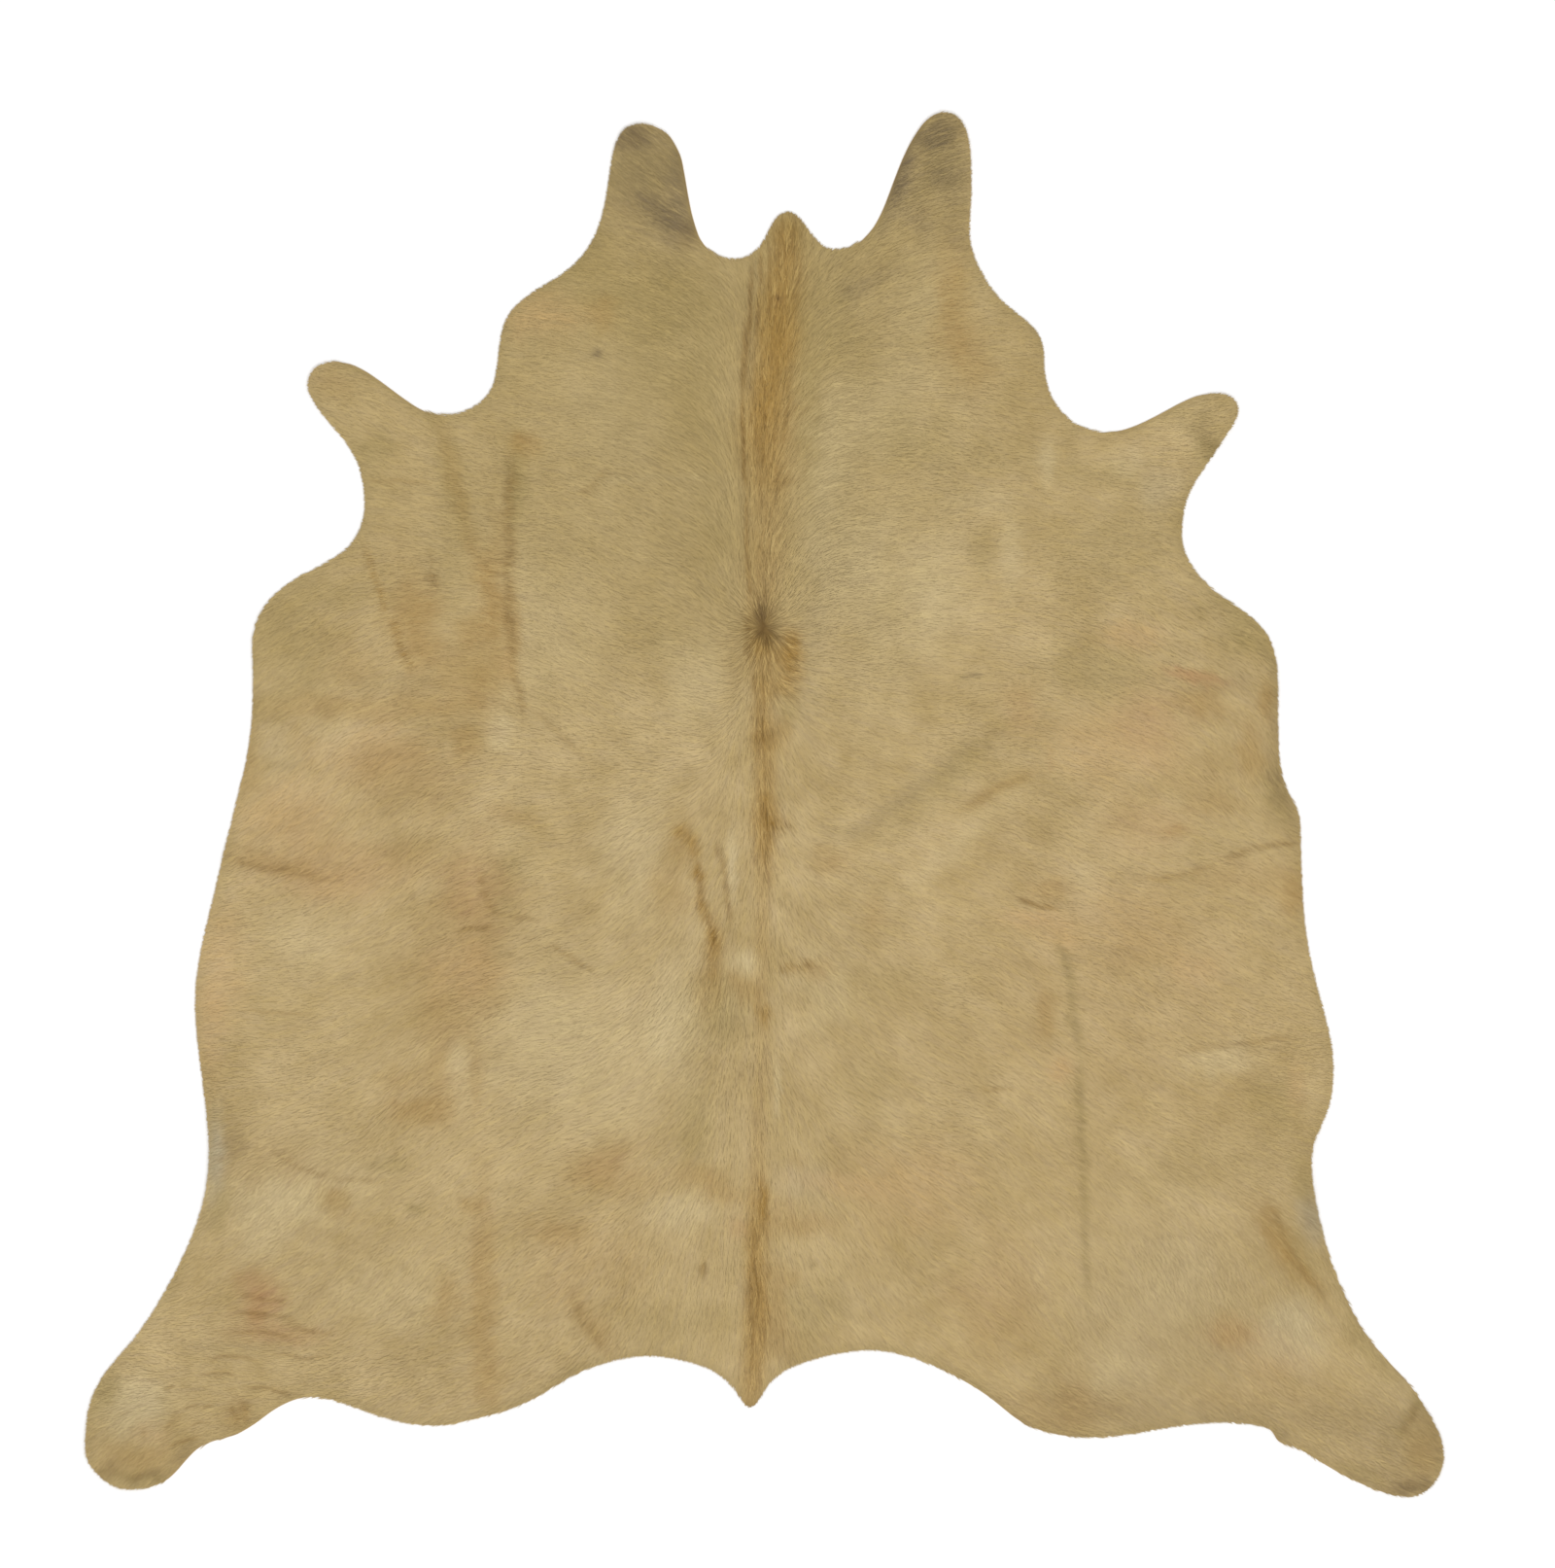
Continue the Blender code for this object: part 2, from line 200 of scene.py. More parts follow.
# Clouds in the coat's colour, most of them its own markings and a few of them painted shade, painted
# highlight and painted sheen, each noted where it stands. Columns: x_mm, y_mm, reach_x, reach_y, turn_deg,
# tint, strength
CLOUDS = {
    "neck": (
        # The first three rows darken the whole neck broadly towards olive
        (-149, 660, 371, 355, 0, "olive", 0.48),
        (222, 768, 232, 293, 0, "olive", 0.32),
        (-303, 351, 232, 201, 0, "olive", 0.20),
        (-188, 1007, 59, 96, 0, "olive", 0.75),
        (-188, 984, 62, 93, 0, "grey", 0.40),
        (-134, 977, 25, 93, 0, "grey", 0.60),
        (-161, 935, 56, 23, -35, "grey", 0.75),
        (-208, 1058, 34, 22, 0, "grey", 0.70),
        (-208, 1062, 31, 19, 0, "dark", 0.20),
        (-126, 907, 19, 22, 0, "dark", 0.25),
        (-152, 904, 25, 19, 0, "grey", 0.25),
        (306, 904, 22, 28, 0, "grey", 0.22),
        (277, 1023, 52, 93, 0, "olive", 0.60),
        (277, 1023, 56, 77, 0, "grey", 0.35),
        (222, 969, 25, 77, 25, "grey", 0.35),
        (215, 997, 74, 14, 71, "grey", 0.80),
        (273, 1065, 37, 22, 10, "grey", 0.70),
        (290, 997, 28, 14, 0, "grey", 0.40),
        (183, 838, 40, 15, 35, "grey", 0.20),
        (144, 814, 25, 19, 20, "grey", 0.22),
        (39, 913, 34, 31, 0, "olive", 0.80),
        (39, 907, 31, 37, 0, "dark", 0.15),
        (33, 768, 40, 124, 0, "olive", 0.45),
        (29, 614, 43, 108, 0, "tan", 0.30),
        (299, 791, 28, 93, 0, "tan", 0.50),
        (327, 706, 34, 62, 0, "tan", 0.40),
        (-350, 780, 74, 37, 0, "peach", 0.60),
        (-257, 780, 22, 31, 0, "tan", 0.40),
        (-211, 814, 108, 77, 0, "olive", 0.45),
        (-134, 838, 65, 46, -30, "olive", 0.40),
        (-149, 737, 93, 93, 0, "olive", 0.35),
        (-226, 621, 77, 93, 0, "ash", 0.15),
        (-115, 614, 54, 77, 0, "olive", 0.30),
        (-75, 444, 56, 77, 0, "olive", 0.20),
        (144, 621, 93, 77, 0, "pale", 0.30),
        (234, 680, 77, 54, 0, "pale", 0.12),
        (257, 807, 46, 62, 0, "pale", 0.25),
        (322, 632, 34, 22, 0, "pale", 0.15),
        (237, 583, 77, 46, 0, "olive", 0.40),
        (-288, 876, 93, 31, 30, "olive", 0.30),
        (98, 768, 52, 93, 0, "olive", 0.35),
        (67, 598, 22, 108, 0, "olive", 0.40),
    ),
    "left shoulder": (
        (-492, 513, 108, 19, -76, "olive", 0.60),
        (-489, 506, 108, 15, -76, "tan", 0.35),
        (-442, 351, 65, 20, -75, "tan", 0.60),
        (-453, 282, 34, 31, 0, "tan", 0.50),
        (-481, 197, 39, 62, 0, "tan", 0.35),
        (-435, 197, 31, 93, 0, "tan", 0.35),
        (-424, 336, 19, 124, 0, "tan", 0.40),
        (-399, 274, 11, 93, 0, "tan", 0.50),
        (-381, 571, 22, 22, 0, "tan", 0.60),
        (-388, 521, 14, 69, 0, "olive", 0.50),
        (-399, 506, 12, 93, 0, "olive", 0.50),
        (-554, 302, 37, 46, 0, "tan", 0.45),
        (-566, 290, 40, 108, 0, "tan", 0.35),
        (-589, 191, 62, 22, 0, "dark", 0.12),
        (-535, 251, 31, 39, 0, "tan", 0.45),
        (-651, 220, 46, 31, 0, "tan", 0.25),
        (-617, 566, 31, 25, 0, "olive", 0.50),
        (-643, 537, 46, 93, 0, "olive", 0.30),
        (-682, 660, 62, 37, 30, "olive", 0.20),
        (-751, 266, 77, 100, 20, "olive", 0.45),
        (-682, 336, 62, 31, 0, "olive", 0.30),
        (-620, 154, 201, 23, 0, "tan", 0.40),
        (-790, 154, 46, 22, 0, "olive", 0.45),
        (-628, 81, 93, 46, 0, "peach", 0.35),
        (-682, 96, 39, 34, 0, "pale", 0.35),
        (-424, 132, 22, 52, 0, "pale", 0.55),
        (-476, 92, 22, 31, 0, "tan", 0.45),
        (-350, 290, 93, 154, 0, "pale", 0.20),
        (-103, 197, 62, 85, 0, "pale", 0.30),
        (-411, 228, 9, 31, 0, "peach", 0.40),
        (-689, 668, 46, 25, -20, "tan", 0.20),
    ),
    "right shoulder": (
        (391, 552, 139, 31, 0, "olive", 0.20),
        (450, 544, 12, 39, 0, "pale", 0.50),
        (345, 482, 69, 22, 0, "pale", 0.20),
        (283, 351, 62, 93, 0, "pale", 0.30),
        (391, 398, 19, 65, 0, "pale", 0.35),
        (348, 398, 19, 40, 0, "olive", 0.30),
        (623, 498, 34, 39, 0, "ash", 0.30),
        # Painted shade along the right foreleg's lower edge, in the next two rows
        (708, 560, 22, 52, 25, "olive", 0.60),
        (713, 564, 15, 56, 25, "dark", 0.20),
        (692, 621, 77, 37, -15, "olive", 0.28),
        (577, 537, 31, 25, 0, "pale", 0.30),
        (577, 413, 139, 77, 0, "olive", 0.35),
        (770, 290, 77, 52, -50, "olive", 0.70),
        (546, 209, 93, 46, 0, "olive", 0.40),
        (615, 135, 52, 62, 0, "red", 0.25),
        (743, 189, 46, 22, 0, "dark", 0.15),
        (530, 521, 77, 25, 0, "olive", 0.30),
        (811, 120, 19, 93, 0, "dark", 0.22),
        (584, 266, 49, 25, 0, "peach", 0.40),
        (682, 203, 52, 11, -14, "red", 0.60),
        (700, 158, 40, 25, 0, "tan", 0.50),
        (399, 163, 31, 40, 0, "tan", 0.30),
        (774, 81, 25, 49, 0, "tan", 0.50),
        (816, 8, 22, 49, 20, "olive", 0.55),
        (821, 12, 22, 52, 20, "dark", 0.28),
        (608, -35, 62, 46, 0, "red", 0.22),
        (561, 89, 108, 62, 0, "peach", 0.22),
        (685, 42, 62, 46, 0, "tan", 0.25),
        (797, 163, 12, 34, 0, "tan", 0.60),
        # Painted sheen: the last four rows are pale, silky patches near the whorl, right of the spine
        (175, 320, 93, 124, 0, "pale", 0.30),
        (129, 413, 62, 93, 0, "pale", 0.25),
        (98, 413, 37, 108, 0, "ash", 0.15),
        (80, 290, 25, 77, 0, "ash", 0.15),
    ),
    "left flank": (
        (-828, 66, 28, 62, 0, "tan", 0.35),
        (-751, -19, 93, 62, 0, "peach", 0.35),
        (-751, 19, 46, 39, 0, "pale", 0.20),
        (-450, -135, 56, 71, 0, "red", 0.28),
        (-774, 89, 31, 39, 0, "ash", 0.15),
        (-558, 42, 93, 62, 0, "tan", 0.35),
        (-408, -16, 46, 15, -20, "tan", 0.30),
        (-767, -96, 80, 17, -10, "tan", 0.40),
        (-674, -120, 77, 43, 0, "peach", 0.30),
        (-411, -120, 37, 52, 0, "olive", 0.55),
        (-844, -181, 34, 28, 0, "tan", 0.20),
        (-859, -266, 37, 93, 0, "peach", 0.30),
        (-736, -223, 62, 65, 0, "pale", 0.25),
        (-504, -266, 93, 154, 0, "tan", 0.22),
        (-666, -271, 11, 11, 0, "grey", 0.25),
        (-473, -266, 62, 46, 0, "peach", 0.40),
        (-486, -340, 46, 85, -35, "tan", 0.30),
        (-882, -351, 22, 93, 0, "peach", 0.30),
        (-155, -135, 34, 49, 0, "tan", 0.35),
    ),
    "back": (
        (-107, -228, 46, 93, 0, "pale", 0.15),
        (-211, -81, 56, 93, 0, "pale", 0.35),
        # A painted highlight: a small white gleam in a hollow left of the spine
        (-29, -254, 26, 20, -30, "pale", 0.60),
        (-69, -320, 52, 59, 0, "olive", 0.45),
        (-29, -291, 37, 19, -42, "tan", 0.45),
        (-80, -228, 15, 52, 0, "spine", 0.50),
        (-90, -285, 22, 62, 0, "spine", 0.30),
        (-566, -84, 77, 37, 0, "tan", 0.30),
        (-705, -96, 139, 46, 0, "red", 0.15),
        (-130, -66, 19, 46, 0, "tan", 0.40),
        (80, -259, 34, 19, 0, "tan", 0.40),
        (-149, -344, 37, 77, 0, "pale", 0.35),
        (-52, -101, 9, 56, 0, "pale", 0.60),
        (-495, -416, 15, 40, 0, "pale", 0.50),
        (-459, -444, 12, 52, 0, "tan", 0.30),
        (-350, -390, 93, 139, 0, "pale", 0.30),
        (-226, -390, 139, 139, 0, "pale", 0.30),
        (160, -452, 62, 62, 0, "olive", 0.25),
        (410, 149, 28, 40, 0, "red", 0.12),
        (70, 154, 23, 68, 0, "grey", 0.15),
        # Painted shade along a slanting fold right of the spine, in the next six rows
        (256, 7, 96, 28, 38, "olive", 0.30),
        (220, 15, 86, 15, 38, "grey", 0.12),
        (306, 61, 52, 23, 40, "olive", 0.30),
        (306, 76, 49, 15, 40, "grey", 0.10),
        (370, 110, 34, 22, 30, "grey", 0.08),
        (132, -42, 46, 9, -4, "grey", 0.14),
        (373, 24, 71, 12, 27, "tan", 0.25),
        # Painted light on the side of that fold that faces the sun
        (306, -63, 108, 19, 40, "pale", 0.22),
        (109, -89, 37, 23, 0, "tan", 0.38),
        (19, -27, 22, 12, 0, "spine", 0.50),
        (175, -175, 17, 28, 0, "tan", 0.35),
        (512, -143, 22, 46, 0, "pale", 0.25),
        (544, 120, 77, 77, 0, "peach", 0.12),
        (98, -297, 52, 77, 0, "pale", 0.30),
        (90, 544, 40, 93, 0, "pale", 0.35),
        (175, -282, 93, 28, 0, "olive", 0.20),
    ),
    "right flank": (
        (453, -135, 31, 19, 0, "tan", 0.45),
        (422, -181, 49, 15, 0, "peach", 0.40),
        (469, -208, 31, 22, -30, "peach", 0.35),
        (447, -336, 17, 42, 0, "tan", 0.50),
        (472, -418, 19, 22, 0, "peach", 0.50),
        (492, -135, 19, 40, 0, "ash", 0.12),
        (654, -42, 22, 15, 0, "tan", 0.45),
        (723, -4, 46, 19, 0, "tan", 0.30),
        (770, -120, 85, 31, 0, "tan", 0.30),
        (561, -189, 124, 62, 0, "peach", 0.20),
        (685, -266, 46, 31, 0, "peach", 0.30),
        (577, -282, 201, 185, 0, "peach", 0.10),
        (728, -405, 69, 28, 6, "pale", 0.45),
        (844, -452, 15, 40, 0, "peach", 0.40),
        (808, -482, 46, 46, 0, "olive", 0.35),
        (839, -143, 22, 31, 0, "tan", 0.60),
    ),
    "rump": (
        (-257, -567, 65, 34, 22, "tan", 0.40),
        (-254, -575, 46, 22, 20, "red", 0.15),
        (-327, -679, 46, 22, 0, "tan", 0.45),
        (-84, -603, 69, 23, -20, "tan", 0.50),
        (-218, -603, 62, 25, 0, "tan", 0.35),
        (-110, -506, 34, 62, 0, "olive", 0.40),
        (-41, -671, 19, 15, 0, "red", 0.30),
        (-134, -646, 52, 28, 0, "pale", 0.40),
        (55, -671, 59, 20, 3, "tan", 0.50),
        (117, -603, 93, 19, -8, "peach", 0.30),
        (229, -598, 93, 77, 0, "peach", 0.30),
        (61, -598, 39, 31, 0, "ash", 0.35),
        (50, -567, 14, 12, 0, "tan", 0.35),
        (72, -730, 9, 9, 0, "dark", 0.30),
        (44, -753, 22, 15, 0, "tan", 0.35),
        (75, -799, 62, 52, 0, "olive", 0.30),
        (24, -856, 34, 31, 0, "dark", 0.12),
        (144, -784, 62, 37, 0, "grey", 0.10),
        (24, -856, 37, 34, 0, "tan", 0.30),
        (-134, -825, 93, 43, 0, "olive", 0.25),
        (-288, -730, 93, 77, 0, "peach", 0.15),
        (-277, -822, 69, 19, -55, "tan", 0.35),
    ),
    "left hind leg": (
        (-872, -560, 17, 65, 0, "ash", 0.90),
        (-839, -541, 19, 28, 0, "dark", 0.25),
        (-865, -640, 46, 17, 80, "olive", 0.50),
        (-550, -486, 51, 26, 0, "tan", 0.60),
        (-574, -439, 46, 22, 0, "tan", 0.30),
        (-512, -452, 31, 56, 0, "tan", 0.40),
        (-594, -572, 34, 12, 0, "olive", 0.40),
        (-683, -632, 32, 23, -12, "tan", 0.45),
        (-683, -632, 28, 19, -12, "olive", 0.30),
        (-554, -640, 12, 9, 0, "olive", 0.50),
        (-466, -637, 22, 14, 0, "tan", 0.50),
        (-799, -691, 43, 37, 0, "pale", 0.30),
        (-751, -614, 139, 77, 0, "pale", 0.30),
        (-767, -629, 93, 46, 0, "pale", 0.35),
        (-799, -791, 37, 31, 0, "red", 0.50),
        (-810, -810, 19, 15, 0, "tan", 0.50),
        (-774, -842, 74, 20, -4, "red", 0.35),
        (-810, -760, 34, 22, -10, "red", 0.30),
        (-828, -862, 77, 14, 0, "grey", 0.15),
        (-506, -787, 37, 22, 70, "tan", 0.50),
        (-665, -739, 28, 19, 0, "olive", 0.15),
        (-447, -776, 22, 170, 0, "tan", 0.55),
        (-482, -430, 17, 56, 0, "pale", 0.40),
        (-597, -776, 93, 62, 0, "pale", 0.25),
        (-1045, -930, 22, 34, -20, "olive", 0.50),
        (-1041, -1057, 22, 12, 40, "dark", 0.30),
        (-1003, -1069, 19, 9, 0, "dark", 0.35),
        (-967, -1063, 14, 9, -20, "dark", 0.30),
        (-990, -961, 43, 43, 0, "ash", 0.25),
        (-990, -961, 52, 52, 0, "pale", 0.45),
        (-990, -1069, 46, 14, 0, "olive", 0.40),
        (-995, -1041, 65, 28, 0, "tan", 0.35),
        (-944, -946, 22, 25, 0, "olive", 0.20),
        (-835, -970, 20, 26, 0, "tan", 0.35),
        (-980, -1001, 31, 22, 0, "peach", 0.30),
        (-926, -1038, 28, 15, 50, "grey", 0.20),
    ),
    "right hind leg": (
        (811, -696, 65, 14, -58, "tan", 0.50),
        (852, -723, 71, 23, -56, "olive", 0.40),
        (855, -597, 19, 43, 12, "olive", 0.50),
        (870, -655, 20, 42, 10, "ash", 0.70),
        (870, -655, 19, 40, 10, "grey", 0.28),
        (740, -835, 37, 31, 0, "tan", 0.40),
        (747, -841, 46, 25, 0, "red", 0.20),
        (839, -845, 52, 52, 0, "ash", 0.30),
        (839, -845, 56, 56, 0, "pale", 0.40),
        (638, -776, 170, 139, 0, "ash", 0.18),
        (453, -964, 139, 34, 8, "tan", 0.30),
        (453, -964, 170, 40, 8, "grey", 0.15),
        (561, -899, 46, 56, 0, "pale", 0.25),
        (492, -946, 31, 46, 0, "tan", 0.20),
        (685, -969, 185, 25, 0, "grey", 0.20),
        (947, -992, 93, 62, 0, "grey", 0.15),
        (685, -575, 124, 46, 10, "olive", 0.20),
        (561, -498, 587, 648, 0, "tan", 0.08),
        (-435, -915, 25, 46, 0, "tan", 0.40),
        (-767, -575, 93, 37, 0, "tan", 0.20),
        (-1029, -1023, 93, 93, 0, "olive", 0.30),
        (1024, -1023, 77, 93, 0, "grey", 0.14),
        (777, -938, 124, 40, 0, "tan", 0.15),
        (747, -887, 62, 37, 0, "grey", 0.12),
        (376, -776, 77, 93, 0, "red", 0.15),
        (1048, -1023, 34, 46, 0, "tan", 0.40),
        (1048, -1023, 37, 49, 0, "olive", 0.30),
        (1032, -1083, 40, 12, 8, "dark", 0.50),
        (947, -1060, 40, 12, -18, "olive", 0.40),
        (821, -1004, 15, 12, 0, "grey", 0.30),
        (808, -887, 62, 37, 0, "peach", 0.25),
        (955, -865, 80, 14, -50, "olive", 0.40),
        (638, -776, 108, 93, 0, "pale", 0.15),
    ),
    "whorl, spots and tail": (
        (-4, 293, 8, 34, 0, "dark", 0.90),
        (4, 263, 19, 19, 0, "dark", 0.50),
        (1, 252, 25, 22, 0, "spine", 0.50),
        (-1, 290, 26, 20, 0, "dark", 0.30),
        (-7, 274, 52, 52, 0, "olive", 0.40),
        (39, 240, 22, 42, 0, "spine", 0.75),
        (24, 188, 23, 25, 0, "spine", 0.55),
        (-46, 225, 25, 52, 0, "tan", 0.22),
        (-2, 197, 15, 93, 0, "spine", 0.25),
        (46, 225, 14, 43, 0, "spine", 0.50),
        (2, -63, 22, 52, 0, "spine", 0.55),
        (39, 151, 19, 31, 0, "olive", 0.35),
        (2, 42, 19, 77, 0, "spine", 0.30),
        (5, 109, 12, 9, 0, "dark", 0.42),
        (10, 110, 28, 28, 0, "spine", 0.48),
        (32, 737, 22, 52, 0, "tan", 0.50),
        (21, 768, 40, 93, 0, "olive", 0.50),
        (5, 413, 25, 93, 0, "ash", 0.12),
        (-1, -333, 11, 19, 0, "spine", 0.60),
        (-13, -768, 17, 139, 0, "spine", 0.55),
        (13, -791, 22, 77, 0, "tan", 0.45),
        (13, -637, 46, 22, 0, "tan", 0.35),
        (-16, -810, 8, 86, 0, "dark", 0.15),
        (-1, -631, 9, 37, 0, "spine", 0.80),
        (21, -452, 6, 46, 0, "pale", 0.40),
    ),
}

# Small round spots. Columns: x_mm, y_mm, radius_mm, tint, strength
SPOTS = (
    (21, 801, 5.5, "dark", 0.95),
    (21, 801, 9.0, "red", 0.50),
    (-265, 716, 8.0, "grey", 0.85),
)

# Creases and partings. Their darker tints are painted shade in the fold together with the darker hair that
# parts there. Columns: start, middle and end in mm, width_mm, depth_mm, tint, darkness
CREASES = {
    "neck": (
        (-401, 586, -405, 367, -399, 212, 14, 1.5, "dark", 0.45),
        (-405, 583, -410, 413, -402, 212, 5, 0.8, "dark", 0.40),
        (-399, 212, -390, 189, -384, 127, 9, 1.0, "dark", 0.45),
        (-638, 419, -615, 347, -600, 300, 9, 1.0, "spine", 0.60),
        (-635, 410, -614, 345, -600, 302, 5, 0.4, "dark", 0.40),
        (-597, 302, -581, 259, -561, 212, 9, 1.4, "spine", 0.70),
        (-594, 296, -578, 252, -561, 212, 6, 0.6, "dark", 0.50),
        (-530, 413, -526, 374, -529, 336, 6, 0.8, "dark", 0.30),
        (-540, 364, -526, 357, -516, 336, 6, 0.7, "dark", 0.35),
        (-300, 490, -269, 510, -248, 540, 8, 0.7, "dark", 0.28),
        (-632, 515, -581, 513, -529, 513, 5, 0.5, "dark", 0.25),
        (-371, 154, -325, 110, -276, 66, 8, 0.6, "dark", 0.20),
        (-288, 503, -149, 506, -25, 510, 8, 0.5, "grey", 0.04),
        (-288, 515, -149, 518, -25, 523, 9, 0.1, "pale", 0.30),
        (306, 200, 330, 205, 351, 206, 5, 0.4, "grey", 0.70),
    ),
    "spine partings": (
        (-19, 862, -25, 753, -33, 648, 5, 1.6, "dark", 1.00),
        (-15, 873, -19, 753, -27, 629, 14, 0.4, "grey", 0.26),
        (-29, 768, -33, 706, -35, 648, 5, 0.6, "dark", 0.60),
        (-33, 648, -33, 575, -27, 501, 5, 1.6, "dark", 1.00),
        (-29, 498, -27, 413, -21, 308, 5, 1.2, "dark", 0.70),
        (-24, 302, -27, 266, -22, 218, 5, 1.6, "dark", 0.90),
        (-5, 907, -8, 814, -13, 745, 5, 1.0, "dark", 0.60),
        (10, 879, 8, 814, 13, 745, 5, 0.6, "dark", 0.35),
        (55, 873, 52, 814, 44, 737, 5, 0.6, "dark", 0.30),
        (22, 660, 16, 598, 15, 537, 5, 0.6, "dark", 0.40),
        (39, 676, 35, 614, 30, 552, 5, 0.6, "dark", 0.30),
        (5, 660, -2, 598, -1, 521, 5, 1.0, "dark", 0.40),
        (-25, 510, 8, 515, 49, 513, 12, 0.8, "dark", 0.40),
        (-19, 212, -12, 151, -16, 42, 5, 0.8, "dark", 0.50),
        (2, 197, -1, 104, 4, 19, 5, 0.8, "dark", 0.35),
        (-4, 24, -2, -16, 8, -39, 12, 1.0, "dark", 0.45),
        (-4, 24, -2, -16, 8, -39, 25, 0.2, "spine", 0.60),
        (-16, -671, -22, -791, -21, -915, 6, 0.8, "dark", 0.35),
        (2, -660, 5, -760, -4, -884, 6, 0.6, "dark", 0.30),
    ),
    "back": (
        # Painted shade along the slanting fold right of the spine
        (93, -44, 160, -35, 306, 76, 19, 1.4, "grey", 0.15),
        (306, -16, 370, 25, 433, 49, 11, 1.0, "dark", 0.30),
        (453, 92, 455, 70, 452, 50, 5, 0.5, "red", 0.50),
        (458, -198, 481, -262, 501, -405, 15, 1.4, "olive", 0.70),
        (466, -220, 484, -282, 501, -405, 9, 0.4, "grey", 0.30),
        (501, -390, 506, -581, 515, -835, 12, 1.2, "olive", 0.70),
        (501, -398, 506, -581, 515, -835, 8, 0.4, "grey", 0.35),
        (401, -146, 432, -160, 466, -163, 8, 1.2, "dark", 0.60),
        (21, -265, 44, -257, 78, -256, 8, 1.0, "spine", 0.75),
        (21, -265, 44, -257, 78, -256, 5, 0.4, "dark", 0.35),
        (12, -35, 33, -35, 52, -35, 8, 0.8, "dark", 0.50),
        (848, -63, 793, -66, 719, -93, 8, 1.2, "dark", 0.45),
        (716, -93, 662, -112, 592, -120, 8, 1.0, "dark", 0.30),
        (-856, -87, -767, -104, -674, -124, 11, 1.2, "dark", 0.35),
        (-456, -92, -442, -152, -424, -171, 8, 1.0, "dark", 0.42),
        (-487, -198, -458, -198, -432, -191, 6, 0.8, "dark", 0.45),
        (-427, -171, -396, -178, -350, -183, 8, 0.7, "dark", 0.25),
        (-345, -220, -303, -246, -259, -274, 6, 1.0, "dark", 0.50),
        (-146, -41, -117, -53, -103, -96, 12, 1.2, "spine", 0.75),
        (-109, -81, -96, -161, -69, -242, 15, 1.6, "spine", 0.80),
        (-106, -90, -95, -158, -72, -228, 6, 0.6, "dark", 0.40),
        (-80, -52, -61, -120, -56, -197, 9, 1.2, "dark", 0.50),
        (-821, -325, -774, -331, -720, -333, 5, 0.5, "dark", 0.25),
    ),
    "rump and hind legs": (
        (-784, -546, -703, -589, -577, -597, 6, 0.7, "dark", 0.35),
        (-313, -768, -286, -819, -248, -875, 11, 1.0, "dark", 0.30),
        (342, -452, 373, -453, 401, -447, 6, 0.7, "dark", 0.35),
        (662, -394, 747, -379, 847, -367, 8, 0.8, "dark", 0.28),
        (-100, -726, -100, -739, -103, -751, 9, 0.5, "dark", 0.60),
        (631, -683, 631, -691, 632, -699, 3, 0.2, "grey", 0.60),
        (643, -680, 645, -689, 645, -699, 3, 0.2, "grey", 0.60),
        (662, -680, 663, -689, 662, -699, 3, 0.2, "grey", 0.60),
        (788, -612, 827, -703, 904, -794, 26, 1.6, "tan", 0.50),
        (799, -615, 839, -717, 895, -788, 12, 1.2, "dark", 0.28),
        (-949, -1017, -924, -1012, -899, -1006, 5, 0.9, "dark", 0.45),
        (-950, -930, -944, -924, -936, -923, 5, 0.5, "dark", 0.45),
        (-893, -960, -885, -957, -878, -957, 5, 0.5, "dark", 0.35),
        (-921, -961, -912, -957, -899, -955, 3, 0.4, "dark", 0.30),
        (-989, -989, -986, -997, -986, -1006, 3, 0.4, "dark", 0.30),
        (-1078, -1001, -1072, -1003, -1066, -1009, 3, 0.4, "dark", 0.40),
        (-1078, -1023, -1072, -1024, -1065, -1029, 3, 0.4, "dark", 0.40),
        (-876, -913, -868, -910, -861, -909, 3, 0.4, "dark", 0.30),
        (-855, -930, -848, -927, -839, -926, 3, 0.4, "dark", 0.35),
        (-1029, -969, -1020, -966, -1009, -969, 3, 0.4, "dark", 0.22),
        (-967, -946, -958, -943, -947, -946, 3, 0.4, "dark", 0.25),
        (-909, -986, -898, -981, -885, -983, 3, 0.4, "dark", 0.30),
        (-848, -955, -839, -973, -830, -992, 6, 0.9, "dark", 0.45),
        (-831, -946, -824, -964, -819, -986, 6, 0.9, "dark", 0.40),
        (-882, -882, -844, -876, -804, -884, 6, 0.7, "dark", 0.35),
        (-898, -910, -867, -902, -836, -912, 6, 0.7, "dark", 0.30),
        (-828, -924, -785, -927, -751, -940, 6, 0.8, "dark", 0.40),
        (-952, -995, -940, -975, -932, -960, 5, 0.7, "dark", 0.30),
        (-940, -992, -930, -977, -921, -964, 5, 0.7, "dark", 0.28),
        (-836, -776, -797, -785, -751, -790, 6, 0.7, "dark", 0.30),
        (-844, -810, -790, -811, -736, -824, 6, 0.7, "dark", 0.35),
        (-855, -841, -797, -838, -751, -850, 6, 0.7, "dark", 0.30),
        (-782, -870, -736, -878, -689, -873, 6, 0.7, "dark", 0.30),
        (-751, -827, -720, -836, -686, -842, 6, 0.7, "dark", 0.30),
        (1003, -1007, 1024, -973, 1045, -946, 22, 1.2, "olive", 0.60),
        (1009, -998, 1024, -973, 1043, -949, 9, 0.8, "dark", 0.25),
    ),
}

TINTS = ("spine", "olive", "tan", "dark", "red", "pale", "grey", "peach", "ash")
LIGHT_TINTS = ("pale", "peach", "ash")
LAYERS = ("ash", "pale", "peach", "olive", "tan", "red", "spine", "grey", "dark")

